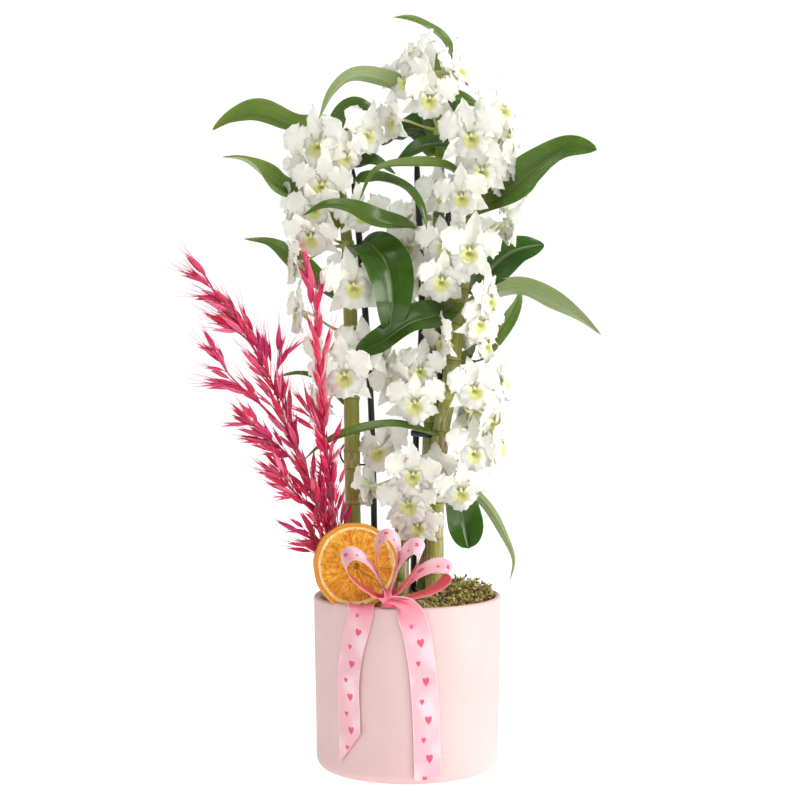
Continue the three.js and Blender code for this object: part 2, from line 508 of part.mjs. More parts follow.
// A bloom as one closed star: three pointed sepals, two broad petals and a lip that folds round the
// column, all growing from one heart. Neighbouring blades share the corner between them, and the
// heart narrows behind them to its stalk, which ends at root.
function star(root, grow) {
  const arms = FLOWER.blades;
  const joint = (k) => {
    const [a, b] = [arms[(k + arms.length - 1) % arms.length].angle, arms[k % arms.length].angle];
    const middle = radians((a + (b < a ? b + 360 : b)) / 2);
    const radius = FLOWER.core + 1.5 * grow;
    return new THREE.Vector3(radius * Math.cos(middle), radius * Math.sin(middle), grow);
  };
  const triangles = [];
  const fill = (a, b) => {
    for (let j = 0; j + 1 < a.length; j += 1) {
      if (j < 2) triangles.push(a[j], a[j + 1], b[j + 1], a[j], b[j + 1], b[j]);
      else triangles.push(a[j], a[j + 1], b[j], a[j + 1], b[j + 1], b[j]);
    }
  };
  const tip = new THREE.Vector3(0, 0, FLOWER.column + 3 * grow);
  arms.forEach((arm, k) => {
    const chains = petalChains(arm, arm.angle, [joint(k), joint(k + 1)], grow);
    const closed = chains.map(({ front, back }) => [...front, ...[...back].reverse(), front[0]]);
    for (let i = 0; i + 1 < closed.length; i += 1) fill(closed[i], closed[i + 1]);
    const { front, back } = chains[0];
    for (let j = 0; j + 1 < front.length; j += 1) triangles.push(tip, front[j + 1], front[j]);
    for (let j = 0; j + 1 < back.length; j += 1) triangles.push(root, back[j], back[j + 1]);
    const end = closed.at(-1);
    for (let j = 1; j + 2 < end.length; j += 1) triangles.push(end[0], end[j], end[j + 1]);
  });
  return solidOf(new THREE.BufferGeometry().setFromPoints(triangles));
}

// Where a stalk would meet the middle line of its cane, if it crosses the collar at mid-height.
function stalkRoot([x, y, z], centre) {
  const distance = Math.hypot(x - centre.x, y - centre.y);
  const slope = THREE.MathUtils.clamp((z - centre.z) / (distance - COLLAR.radius), -1, 1);
  return new THREE.Vector3(centre.x, centre.y, centre.z - slope * COLLAR.radius);
}

// A bloom in its place, on its stalk from the node of its cane.
function bloom([x, y, z, azimuth, lift, turn, size], centre, grow) {
  const [a, e] = [radians(azimuth), radians(lift)];
  const facing = new THREE.Vector3(Math.sin(a) * Math.cos(e), -Math.cos(a) * Math.cos(e), Math.sin(e));
  const up = new THREE.Vector3(0, 0, 1).addScaledVector(facing, -facing.z).normalize();
  const place = new THREE.Matrix4().makeBasis(up.clone().cross(facing), up, facing)
    .multiply(new THREE.Matrix4().makeRotationZ(radians(turn)))
    .multiply(new THREE.Matrix4().makeScale(size, size, size));
  place.setPosition(x, y, z);
  const root = stalkRoot([x, y, z], centre).applyMatrix4(place.clone().invert());
  return star(root, grow).transform(place.elements);
}

// A truss: a collar round its node, and the blooms whose stalks spring from the collar.
function truss({ cane: caneName, at, blooms }, grow = 0) {
  const { path } = CANES[caneName];
  const centre = atHeight(path, at);
  const above = atHeight(path, at + COLLAR.height / 2);
  const below = atHeight(path, at - COLLAR.height / 2);
  const heading = above.clone().sub(below).normalize();
  const collar = rod([below, above], [heading, heading], () => COLLAR.radius + grow, COLLAR.sides);
  return join([collar, ...blooms.map((row) => bloom(row, centre, grow))]);
}

// ---------------------------------------------------------------- orange, oats and ribbon

// A dried slice: rind, a ring of pith, and segments sunk between their membranes on both faces.
function slice(grow = 0) {
  const { radius, rind, pith, thickness, segments, sink, hub } = SLICE;
  const spokes = 3 * segments;
  const ring = (r, depth, dip) => Array.from({ length: spokes }, (_, k) => {
    const turn = (2 * Math.PI * k) / spokes;
    const sunk = k % 3 === 0 ? 0 : dip * sink;
    return new THREE.Vector3(r * Math.cos(turn), r * Math.sin(turn), depth - Math.sign(depth) * sunk);
  });
  const half = thickness / 2 + grow;
  const flesh = radius - rind - pith;
  const face = (side) => [
    ring(hub, side * half, 0), ring(flesh - 1.5, side * half, 1),
    ring(flesh + 0.8, side * half, 0), ring(radius - 1 + grow, side * half, 0)];
  const body = loft([...face(-1), ring(radius + grow, 0, 0), ...face(1).reverse()]);
  const place = new THREE.Matrix4().makeRotationZ(radians(SLICE_PLACE.turn))
    .multiply(new THREE.Matrix4().makeRotationX(radians(90 - SLICE_PLACE.lean)));
  place.setPosition(SLICE_PLACE.x, SLICE_PLACE.y, SLICE_PLACE.z);
  return body.transform(place.elements);
}

// One spikelet on its hair-thin branch: it hangs out from the stem and droops.
function spikelet(start, heading, random, grow) {
  const branch = OAT.shortest + OAT.varies * random();
  const length = OAT.spikelet * (0.85 + 0.3 * random());
  const droop = new THREE.Vector3(0, 0, -0.35 - 0.5 * random());
  const elbow = start.clone().addScaledVector(heading, branch);
  const hang = heading.clone().add(droop).normalize();
  const stops = [start, elbow, elbow.clone().addScaledVector(hang, 0.4 * length),
    elbow.clone().addScaledVector(hang, length)];
  const widths = [OAT.branch, OAT.branch, OAT.half, OAT.tip].map((w) => w + grow);
  return rod(stops, [heading, hang, hang, hang], (t) => widths[Math.round(t * 3)], OAT.sides);
}

function oatSpray({ seed, stems }, grow = 0) {
  const random = randomSource(seed);
  const parts = [];
  for (const { from, count, path } of stems) {
    const { points, directions } = along(path, 9);
    parts.push(rod(points, directions, (t) => OAT.stem * (1 - 0.5 * t) + grow, 4));
    const curve = new THREE.CatmullRomCurve3(path.map(vector), false, 'centripetal');
    for (let k = 0; k < count; k += 1) {
      const t = from + (1 - from) * (k / (count - 1)) * 0.99;
      const forward = curve.getTangentAt(t);
      const turn = (k % 2 === 0 ? 0 : Math.PI) + 1.6 * (random() - 0.5);
      const aside = new THREE.Vector3(Math.cos(turn), 0.55 * Math.sin(3 * turn + k), 0.25 * random());
      const heading = forward.clone().multiplyScalar(1.5).add(aside.normalize()).normalize();
      parts.push(spikelet(curve.getPointAt(t), k === count - 1 ? forward : heading, random, grow));
    }
  }
  return join(parts);
}

// A flat band along points; across is the direction of its width at each point.
function band(points, across, width, grow, cut = 0) {
  const last = points.length - 1;
  return loft(points.map((point, i) => {
    const forward = points[Math.min(i + 1, last)].clone().sub(points[Math.max(i - 1, 0)]).normalize();
    const wide = across[i].clone().addScaledVector(forward, -across[i].dot(forward)).normalize();
    const out = forward.clone().cross(wide).normalize();
    const w = width(i / last) / 2 + grow;
    const h = RIBBON.thickness / 2 + grow;
    const slant = i === last ? cut : 0;
    const corner = (a, b) => point.clone().addScaledVector(wide, a * w).addScaledVector(out, b * h)
      .addScaledVector(forward, a * slant);
    return [corner(-1, -1), corner(1, -1), corner(1, 1), corner(-1, 1)];
  }));
}

// A bow loop is a teardrop that starts and ends in the knot.
function bowLoop({ angle, lean, length, half }, grow) {
  const side = new THREE.Vector3(-Math.sin(radians(angle)), 0, Math.cos(radians(angle)));
  const out = new THREE.Vector3(side.z, 0, -side.x).multiplyScalar(Math.cos(radians(lean)));
  out.y = Math.sin(radians(lean));
  const across = out.clone().cross(side);
  const knot = new THREE.Vector3(BOW.x, BOW.y, BOW.z);
  const points = [];
  for (let i = 0; i <= BOW.steps; i += 1) {
    const t = (2 * Math.PI * i) / BOW.steps;
    const reach = BOW.start + ((length - BOW.start) / 2) * (1 - Math.cos(t));
    const spread = 1.35 * half * Math.sin(t) * Math.sin(t / 2) ** 1.2 + BOW.apart * Math.cos(t / 2);
    points.push(knot.clone().addScaledVector(out, reach).addScaledVector(side, spread));
  }
  const gathered = (t) => RIBBON.width * Math.min(1, BOW.gather + 3.2 * Math.min(t, 1 - t));
  return band(points, points.map(() => across), gathered, grow);
}

// A tail runs from the knot over the rim and down the outside of the pot, to a slanting cut.
function tail({ line }, grow) {
  const outside = (x, z) => {
    const radius = THREE.MathUtils.lerp(POT.low, POT.top, Math.min(1, z / POT.height)) + RIBBON.stand;
    return new THREE.Vector3(x, -Math.sqrt(radius ** 2 - x ** 2), z);
  };
  const curve = new THREE.SplineCurve(line.map(([x, z]) => new THREE.Vector2(x, z)));
  const down = curve.getSpacedPoints(7).map((p) => outside(p.x, p.y));
  const start = new THREE.Vector3(BOW.x, BOW.y, BOW.z);
  const over = outside(THREE.MathUtils.lerp(BOW.x, line[0][0], 0.6), POT.height + 0.5);
  over.z = POT.height + 2.2;
  const points = [start, over, ...down];
  const across = points.map((p, i) => (i < 2
    ? new THREE.Vector3(Math.sign(line[0][0] - BOW.x) * 0.4, 0.5, 0.9)
    : new THREE.Vector3(-p.y, p.x, 0)));
  const fixed = across.map((v) => (v.x < 0 ? v.negate() : v));
  const gathered = (t) => RIBBON.width * Math.min(1, 0.35 + 4 * t);
  return band(points, fixed, gathered, grow, RIBBON.cut);
}

function bow(grow = 0) {
  const [a, b, c] = BOW.knot;
  const knot = new THREE.SphereGeometry(1, 8, 5);
  knot.scale(a + grow, b + grow, c + grow).translate(BOW.x, BOW.y, BOW.z);
  const bands = [...LOOPS.map((row) => bowLoop(row, grow)), ...TAILS.map((row) => tail(row, grow))];
  return join([solidOf(knot), ...bands]);
}

// ---------------------------------------------------------------- the whole object

// In this order: each piece is cut clear of every piece before it.
const pieces = [
  ['pot', 'pot_ceramic', pot],
  ...Object.entries(CANES).map(([name, row]) => [`cane_${name}`, 'cane', (grow) => cane(row, grow)]),
  ['old_stub', 'cane', oldStub],
  ...Object.entries(STAKES).map(([name, path]) => [`stake_${name}`, 'stake', (grow) => stake(path, grow)]),
  ['orange_slice', 'orange', slice],
  ['ribbon_bow', 'ribbon', bow],
  ...LEAVES.map((row) => [`leaf_${row.name}`, 'leaf', (grow) => leaf(row, grow)]),
  ...TRUSSES.map((row) => [`blooms_${row.name}`, 'petal', (grow) => truss(row, grow)]),
  ...OAT_SPRAYS.map((row) => [`oat_spray_${row.name}`, 'oat', (grow) => oatSpray(row, grow)]),
  ...CLIPS.map((row) => [row.name, 'stake', () => clip(row)]),
  ['potting_mix', 'potting_mix', () => pottingMix()],
  ['moss', 'moss', () => moss()],
];

const boxesMeet = (a, b) => [0, 1, 2].every((k) => a.min[k] <= b.max[k] && b.min[k] <= a.max[k]);

// The largest closed surface of a solid: loose scraps and sealed hollows are left behind.
function outerSurface(solid) {
  const { vertProperties: at, triVerts } = solid.getMesh();
  const group = Array.from({ length: at.length / 3 }, (_, i) => i);
  const groupOf = (i) => {
    let top = i;
    while (group[top] !== top) top = group[top];
    return top;
  };
  for (let i = 0; i < triVerts.length; i += 3) {
    group[groupOf(triVerts[i + 1])] = groupOf(triVerts[i]);
    group[groupOf(triVerts[i + 2])] = groupOf(triVerts[i]);
  }
  const surfaces = new Map();
  for (let i = 0; i < triVerts.length; i += 3) {
    const surface = surfaces.get(groupOf(triVerts[i])) ?? { index: [], volume: 0 };
    const corners = [...triVerts.slice(i, i + 3)];
    const [p, q, r] = corners.map((k) => new THREE.Vector3(...at.slice(3 * k, 3 * k + 3)));
    surface.index.push(...corners);
    surface.volume += p.dot(q.cross(r)) / 6;
    surfaces.set(groupOf(triVerts[i]), surface);
  }
  const best = [...surfaces.values()].reduce((a, b) => (b.volume > a.volume ? b : a));
  const geometry = new THREE.BufferGeometry();
  geometry.setAttribute('position', new THREE.BufferAttribute(at, 3));
  geometry.setIndex(best.index);
  return geometry.toNonIndexed();
}

function meshOf(name, slot, solid) {
  const geometry = outerSurface(solid);
  geometry.computeVertexNormals();
  const mesh = new THREE.Mesh(geometry, new THREE.MeshStandardMaterial({ metalness: 0, ...MATERIALS[slot] }));
  mesh.name = name;
  return mesh;
}

const plant = new THREE.Group();
const taken = [];
for (const [name, slot, make] of pieces) {
  let solid = make(0);
  for (const space of taken) {
    if (boxesMeet(solid.boundingBox(), space.boundingBox())) solid = solid.subtract(space);
  }
  plant.add(meshOf(name, slot, solid));
  taken.push(make(CLEARANCE));
}

export default plant;
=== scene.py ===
"""A white dendrobium orchid in a matte ceramic pot, dressed with moss, dyed oat grass, a slice of dried
orange and a satin bow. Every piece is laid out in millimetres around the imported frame."""

import bpy
import numpy as np
from bpy.props import FloatProperty, FloatVectorProperty, PointerProperty
from bpy.types import Operator, Panel, PropertyGroup
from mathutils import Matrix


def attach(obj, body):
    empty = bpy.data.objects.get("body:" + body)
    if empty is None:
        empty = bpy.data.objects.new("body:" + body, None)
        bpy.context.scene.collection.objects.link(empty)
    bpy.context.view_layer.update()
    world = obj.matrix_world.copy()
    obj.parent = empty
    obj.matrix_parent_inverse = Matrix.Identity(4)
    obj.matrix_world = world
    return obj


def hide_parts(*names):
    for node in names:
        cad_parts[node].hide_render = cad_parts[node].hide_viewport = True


bl_info = {
    "name": "Potted dendrobium orchid",
    "version": (1, 0, 0),
    "blender": (4, 5, 0),
    "location": "View3D > Sidebar > Orchid",
    "description": "Builds a flowering dendrobium in its pot, with moss, oat grass, orange and ribbon",
    "category": "Object",
}

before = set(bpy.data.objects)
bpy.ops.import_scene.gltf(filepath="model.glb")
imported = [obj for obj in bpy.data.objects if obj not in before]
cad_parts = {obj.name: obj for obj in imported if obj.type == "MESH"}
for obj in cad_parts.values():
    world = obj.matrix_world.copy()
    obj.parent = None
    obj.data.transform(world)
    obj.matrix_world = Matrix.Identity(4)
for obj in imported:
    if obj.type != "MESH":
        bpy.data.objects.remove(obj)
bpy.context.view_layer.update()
MM = 0.001
BODY = "root"
# Where the random numbers of each group start.
SEEDS = {"moss": 5, "canes": 40, "leaves": 100, "oats": 300}
# An edge stays sharp where the surface turns by more than this.
SHARP = np.radians(75)

# ---------------------------------------------------------------- where everything grows, in millimetres

# The pot: its height, and its outer radius over the foot and at the rim.
POT = (130.0, 68.5, 70.5)

# Each cane: its radius in the mix and at its tip, and its centre line up to the tip.
CANES = {
    "left": (5.8, 3.2, [(-40, 6, 92), (-41, 6, 180), (-42, 8, 260), (-43, 10, 340), (-46, 10, 400),
        (-52, 8, 450), (-56, 6, 488)]),
    "right": (6.0, 3.2, [(20, -2, 92), (20, -2, 150), (25, -2, 250), (32, -2, 290), (39.5, 0, 351),
        (48.5, 2, 415), (55, 4, 463), (58, 4, 493)]),
    "middle": (5.5, 2.8, [(13, 14, 92), (13, 14, 140), (18.5, 14, 268), (22, 14, 351), (24, 14, 426),
        (24, 14, 490), (22, 14, 536)]),
}
# How far apart the nodes of a cane are, and how far it swells there.
INTERNODE, NODE_SWELLING = 27, 0.7
# How much of each cane is bare of sheaths, and how green it is.
BARE_INTERNODES = {"left": 0.62, "right": 0.15, "middle": 0.35}
CANE_GREEN = {"left": 0.2, "right": 0.0, "middle": 0.75}

# The radius of the stakes, and the centre line of each from inside the mix to its top.
STAKE_RADIUS = 2.3
STAKES = {
    "left": [(-24, 16, 95), (-27, 16, 256), (-32, 15, 344), (-41, 16, 450)],
    "middle": [(4, 21, 95), (7, 21, 259), (11, 22, 340), (7, 24, 458)],
    "right": [(25.5, 9, 95), (25, 8, 151), (24.7, 6, 276), (31, 5.5, 422)],
}
# The cane, the stake and the height that each clip holds together.
CLIPS = {
    "clip_left_upper": ("left", "left", 440.5),
    "clip_middle_upper": ("middle", "right", 349),
    "clip_middle_lower": ("middle", "middle", 250),
}
# The tie: its cane and stake, its lower and upper height, how far it bulges from the cane's middle, and half
# its thickness.
WIRE_TIE = ("left", "left", 226.5, 243.5, 9.2, 0.75)
# Centre lines of the old stub and of the two shoots on it.
OLD_STUB = [(-5, 0, 98), (-4.5, 0, 150), (-4, 0, 183)]
SHOOTS = [[(-3, -2, 156), (4, -8, 166), (9, -9, 180)], [(-5, -2, 140), (-8, -9, 150), (-9, -10, 160)]]

# Each leaf: its cane, the height it leaves it, half its width, how far its edges fold up, the way its
# upper side looks at the base and at the tip, and the line of its midrib.
LEAVES = {
    "upper_left": ("left", 483, 11, 0.3, (0, -0.6, 0.8), (-0.3, -0.7, 0.7),
        [(-82, 6, 479), (-113, 18, 490), (-131, 26, 488), (-148, 30, 480)]),
    "second_left": ("left", 407, 12, 0.2, (0, -0.9, 0.5), (-0.4, -0.5, 0.8),
        [(-74, 4, 424), (-96, -12, 435), (-119, -32, 453), (-134, -42, 455)]),
    "third_left": ("left", 350, 8, 0.2, (0, -0.6, 0.8), (-0.3, -0.6, 0.7),
        [(-66, 26, 363), (-85, 34, 380), (-104, 40, 394), (-125, 42, 398)]),
    "low_left": ("left", 272, 3.6, 0.2, (0, -0.6, 0.8), (0, -0.6, 0.8),
        [(-65, 28, 290), (-82, 30, 295), (-99, 26, 293)]),
    "back_left": ("left", 461, 8.5, 0.2, (0, -0.8, 0.6), (0.4, -0.8, 0.4),
        [(-52, 26, 480), (-39, 46, 500), (-20, 66, 494)]),
    "short_left": ("left", 461, 7.5, 0.2, (0, -0.6, 0.8), (0.4, -0.6, 0.6),
        [(-40, -4, 452), (-25, -12, 453), (-9, -16, 444)]),
    "bowed_left": ("left", 434, 7, 0.25, (0, -0.5, 0.9), (0.9, -0.6, 0.3),
        [(-41, -14, 438), (-19, -24, 439), (-1, -30, 432), (9, -32, 419), (14, -32, 403)]),
    "hanging_left": ("left", 380, 15, 0.12, (0.2, -0.7, 0.8), (0.3, -1, 0.1),
        [(-31, -16, 394), (-16, -27, 379), (-11, -31, 351), (-14, -28, 327)]),
    "crown_front": ("middle", 490, 6, 0.3, (0, 0.55, 0.85), (-0.7, 0.65, 0.1),
        [(5, -2, 504), (-17, -18, 513), (-40, -34, 514), (-54, -42, 502), (-64, -46, 482)]),
    "crown_tip": ("middle", 530, 5, 0.3, (1, -0.4, 0.4), (0.2, -0.7, 0.8),
        [(31, 18, 537), (27, 18, 546), (15, 12, 555), (2, 6, 560), (-10, 0, 561)]),
    "crown_back": ("middle", 470, 11, 0.2, (0, -0.8, 0.6), (0.3, -0.7, 0.6),
        [(22, 34, 492), (33, 54, 506), (58, 68, 502)]),
    "back_middle": ("middle", 460, 13, 0.15, (0, -0.8, 0.6), (-0.3, -0.8, 0.5),
        [(13, 36, 480), (-4, 58, 482), (-20, 74, 472)]),
    "folded_middle": ("middle", 396, 8, 0.25, (0, -0.6, 0.8), (-0.3, -0.8, 0.5),
        [(2, -17, 405), (-22, -32, 409), (-42, -38, 418), (-59, -40, 420), (-76, -38, 413)]),
    "low_middle": ("middle", 212, 12.5, 0.12, (0.3, -0.8, 0.5), (0.2, -1, 0),
        [(35, 25, 209), (43, 29, 184), (47, 27, 161)]),
    "side_middle": ("middle", 262, 5, 0.2, (0.4, -0.8, 0.4), (0.5, -0.8, 0.2),
        [(38, 28, 284), (48, 34, 301), (54, 36, 311)]),
    "front_right": ("right", 464, 8, 0.2, (0, -0.6, 0.8), (-0.2, -0.7, 0.7),
        [(35, -8, 466), (13, -12, 465), (-10, -15, 452)]),
    "long_right": ("right", 420, 5, 0.35, (0, -0.5, 0.9), (-0.7, -0.7, 0.3),
        [(34, -16, 446), (2, -28, 450), (-23, -35, 445), (-35, -37, 424)]),
    "broad_right": ("right", 420, 13, 0.15, (0, -0.8, 0.6), (0.1, -0.8, 0.6),
        [(73, -6, 430), (94, -18, 448), (116, -32, 461), (137, -42, 460)]),
    "second_right": ("right", 357, 13, 0.15, (0, -0.8, 0.6), (0.2, -0.8, 0.6),
        [(60, 14, 371), (80, 30, 387), (105, 44, 394)]),
    "drooping_right": ("right", 344, 8.5, 0.2, (0, 0.7, 0.7), (0.4, 0.8, 0.5),
        [(64, 14, 356), (84, 12, 360), (107, 0, 351), (127, -14, 339), (142, -26, 326)]),
    "rising_right": ("right", 306, 6.5, 0.2, (0.5, -0.8, 0.3), (0.7, -0.7, 0),
        [(57, 18, 314), (73, 26, 332), (84, 30, 351), (86, 30, 368)]),
    "curled_right": ("right", 350, 11.5, 0.2, (0, -0.8, 0.6), (-0.8, -0.6, 0),
        [(24, -18, 341), (3, -28, 335), (-17, -34, 322), (-33, -34, 312), (-31, -32, 297)]),
    "level_right": ("right", 250, 4.8, 0.3, (0, -0.5, 0.9), (-0.5, -0.6, 0.6),
        [(9, -22, 255), (-13, -30, 259), (-45, -34, 253), (-64, -34, 244), (-76, -32, 234)]),
    "trailing_right": ("right", 208, 3.4, 0.3, (-0.6, 0.5, 0.5), (-0.5, 0.8, 0.1),
        [(44, -8, 211), (60, -10, 198), (73, -10, 176), (80, -10, 157), (77, -10, 142)]),
}

# Each truss: its cane, the height of its node, the seed of its petals' small turns, chosen so that they
# clear the leaves and other throats, and its blooms as (x, y, z of the throat, the way it looks round from
# the front, how far it looks up, its turn, its size). 90 looks right and 180 to the back.
TRUSSES = {
    "left_top": ("left", 474, 1005, [
        (-65, -22, 465, -20, 5, 6, 1.1),
        (-32, -12, 474, 40, 5, -12, 1),
        (-72, 32, 468, -165, 10, 0, 1)]),
    "left_shoulder": ("left", 447, 2009, [
        (-75, -8, 450, -60, -25, 10, 0.95),
        (-62, -27, 436, -12, -8, -8, 1),
        (-47, -24, 458, 22, -25, 8, 0.85)]),
    "left_upper": ("left", 420, 3040, [
        (-67, -25, 419, -20, -14, 11, 0.88),
        (-36, -18, 417, 34, -25, 15, 0.95),
        (-84, 4, 421, -80, 0, 0, 0.95)]),
    "left_middle": ("left", 393, 4025, [
        (-70, -18, 400, -28, -35, -6, 0.95),
        (-83, 0, 380, -78, -5, 8, 1)]),
    "left_heart": ("left", 366, 5018, [
        (-40, -26, 362, 6, 0, 4, 1.1),
        (-40, 36, 372, 170, 5, 0, 1)]),
    "left_lower": ("left", 326, 6017, [
        (-79, 0, 342, -72, 0, 0, 0.95),
        (-32, -24, 316, 14, 12, -6, 0.95),
        (-64, -10, 312, -75, -8, 8, 0.85)]),
    "left_low": ("left", 292, 7035, [
        (-46, -28, 297, -8, -6, 4, 1.1),
        (-62, -3, 276, -110, -12, 0, 0.9),
        (-40, 38, 300, 172, 0, 8, 1)]),
    "crown": ("middle", 520, 8044, [
        (5, -3, 531, -53, 40, 5, 1),
        (36, 6, 522, 62, 24, -8, 0.9),
        (0, -12, 513, -27, 0, 10, 0.9),
        (20, 38, 524, 172, 18, 0, 0.95)]),
    "middle_top": ("middle", 478, 9056, [
        (16, -16, 500, 2, -10, -5, 0.95),
        (-9, -4, 485, -55, -10, 8, 0.85)]),
    "middle_upper": ("middle", 426, 10031, [
        (26, -14, 430, -14, -6, 4, 0.85),
        (10, 42, 412, -172, 6, 0, 1)]),
    "middle_heart": ("middle", 372, 11055, [
        (2, -6, 392, -24, 0, -10, 0.85),
        (27, -20, 393, -5, -4, 6, 0.9),
        (-3, 0, 362, -65, 0, 5, 0.9),
        (25, -20, 367, 4, -15, -8, 0.95),
        (16, 42, 366, 178, 0, 8, 1)]),
    "middle_lower": ("middle", 298, 12031, [
        (9, -20, 300, 2, 2, -6, 0.85),
        (-8, -14, 291, -28, -5, 8, 0.9),
        (5, -28, 277, 2, -20, 4, 0.95),
        (-17, 2, 306, -60, 15, 0, 0.85),
        (14, 42, 296, 174, 0, 5, 1)]),
    "middle_low": ("middle", 222, 13045, [
        (-19, -12, 240, -32, 6, 6, 1),
        (4, -26, 223, 0, 0, -5, 0.95),
        (-28, -4, 212, -122, -10, 0, 0.9),
        (1, -24, 202, -10, -10, 8, 0.95),
        (7, -18, 186, 4, -32, 0, 0.9)]),
    "right_top": ("right", 478, 14019, [
        (47, -24, 471, -8, 3, 5, 1.1),
        (68, -12, 491, 38, 20, -8, 0.95),
        (72, 0, 474, 66, 0, 8, 0.9),
        (56, 32, 482, 172, 4, 0, 1)]),
    "right_shoulder": ("right", 451, 15036, [
        (54, -22, 447, 6, -6, -8, 0.9),
        (77, -4, 454, 70, -10, 5, 0.95),
        (40, -26, 428, -10, -12, 5, 0.9),
        (71, 8, 432, 64, -12, 8, 0.9)]),
    "right_upper": ("right", 397, 16035, [
        (72, -6, 408, 108, -10, 5, 0.95),
        (45, -22, 388, 5, -5, -5, 1.05),
        (48, 34, 398, 176, 0, 6, 1)]),
    "right_heart": ("right", 330, 17062, [
        (58, -15, 352, 58, 2, 6, 0.95),
        (52, -18, 336, 38, -20, -6, 0.85),
        (28, -20, 322, -68, -10, 5, 0.85),
        (56, -6, 319, 62, -4, 0, 0.9),
        (42, 32, 330, 172, 0, 5, 1)]),
    "right_lower": ("right", 280, 18053, [
        (48, -21, 286, 20, 0, 6, 0.95),
        (69, 2, 291, 76, 10, -8, 1),
        (60, -8, 262, 58, -20, 6, 1),
        (48, 32, 266, 160, 0, 0, 1)]),
    "right_low": ("right", 226, 19012, [
        (67, 0, 243, 70, -10, 5, 1),
        (48, -16, 239, 26, 0, -6, 0.95),
        (39, -26, 212, 5, -25, 0, 0.95),
        (23, -14, 224, -20, -8, 6, 0.9)]),
}

# Oat stems: the line, where along it the spikelets start, how many there are, and how far they spread.
OAT_STEMS = {
    "left": [
        ([(-47, -8, 102), (-53, -12, 157), (-67, -16, 203), (-86, -20, 248), (-99, -22, 287),
            (-112, -24, 320), (-129, -25, 344), (-142, -26, 357), (-147, -26, 367)], 0.1, 130, 0.42),
        ([(-136, -26, 351), (-145, -26, 361), (-154, -27, 367), (-161, -27, 369)], 0.45, 9, 0.22),
        ([(-107, -23, 303), (-116, -26, 320), (-129, -28, 330), (-144, -28, 334)], 0.35, 12, 0.22),
        ([(-88, -20, 253), (-108, -25, 274), (-122, -28, 287), (-133, -29, 299), (-142, -30, 315),
            (-146, -30, 324)], 0.3, 17, 0.45),
        ([(-75, -17, 222), (-93, -23, 241), (-110, -28, 256), (-123, -30, 264),
            (-128, -31, 267)], 0.25, 24, 0.4),
        ([(-64, -14, 187), (-80, -20, 205), (-95, -25, 222), (-105, -28, 232)], 0.25, 24, 0.45),
        ([(-51, -10, 142), (-63, -14, 164), (-75, -19, 180), (-83, -22, 189)], 0.2, 22, 0.7),
        ([(-98, -22, 281), (-97, -20, 298), (-88, -20, 314), (-84, -20, 323)], 0.35, 6, 0.22),
        ([(-55, -13, 163), (-64, -18, 190), (-72, -21, 208), (-80, -23, 222)], 0.2, 16, 0.6),
    ],
    "right": [
        ([(-48, 2, 101), (-54, -8, 157), (-58, -18, 203), (-61, -26, 248), (-63, -34, 282),
            (-64, -38, 311), (-67, -40, 340), (-70, -41, 366), (-73, -42, 382)], 0.2, 62, 0.26),
        ([(-49, -4, 141), (-54, -14, 188), (-57, -22, 215), (-59, -26, 232)], 0.15, 30, 0.4),
        ([(-57, -26, 241), (-67, -30, 260), (-72, -32, 271), (-75, -33, 278)], 0.3, 11, 0.4),
        ([(-55, -20, 205), (-57, -25, 224), (-59, -29, 240), (-62, -32, 254)], 0.2, 12, 0.45),
    ],
}

# The slice: its middle, how far it leans back and how far it is turned, in degrees.
SLICE = ((-38.2, -35, 156), 6, 14)

# The bow: its knot, and loops as (turn in its face, lean out of it, length, half width, how much the outer
# face shows at the top, how much the inner face shows below).
KNOT = (-14, -66, 134.4)
BOW_LOOPS = {
    "bow_loop_left": (130, -14, 47, 8.0, 0.22, -0.04),
    "bow_loop_top": (91, 6, 48.5, 7.5, 0.45, 0.0),
    "bow_loop_middle": (63, -8, 46, 6.0, 0.42, 0.05),
    "bow_loop_right": (28, 6, 49, 7.5, 0.60, 0.30),
}
# Each tail: how far its end is cut askew, and its centre line from the rim down as (x, z).
BOW_TAILS = {
    "bow_tail_left": (24, [(-33.5, 126), (-37, 112), (-41, 94), (-43, 76), (-42.5, 48), (-42, 25)]),
    "bow_tail_right": (0, [(1.5, 127.5), (5, 117), (9, 97), (12.5, 64), (13.8, 34), (14.5, 5)]),
}


# ---------------------------------------------------------------- sizes and colours that can be changed


def length(name, description, default):
    """A size with its default in millimetres."""
    return FloatProperty(name=name, description=description, default=default * MM, min=0.0, unit="LENGTH")


def colour(name, description, red, green, blue):
    """A colour with its default as linear shares of red, green and blue."""
    return FloatVectorProperty(name=name, description=description, default=(red, green, blue),
        subtype="COLOR", size=3, min=0.0, max=1.0)


class OrchidSizes(PropertyGroup):
    petal_length: length("Petal length", "From the heart of a bloom to a petal's tip", 26.0)
    petal_half: length("Petal half width", "Half the width of a petal where it is broadest", 10.0)
    sepal_half: length("Sepal half width", "Half the width of a sepal where it is broadest", 6.0)
    lip_reach: length("Lip reach", "How far the lip flares below the throat", 14.0)
    leaf_thickness: length("Leaf thickness", "Thickness of a leaf along its midrib", 1.1)
    pot_lip: length("Pot wall", "Thickness of the pot's wall", 4.5)
    ribbon_width: length("Ribbon width", "Width of the satin ribbon", 20)
    ribbon_thickness: length("Ribbon thickness", "Thickness of the satin", 0.36)
    spikelet_length: length("Spikelet length", "Length of a full oat spikelet", 24)
    moss_strand: length("Moss strand", "Length of a strand of moss", 9)


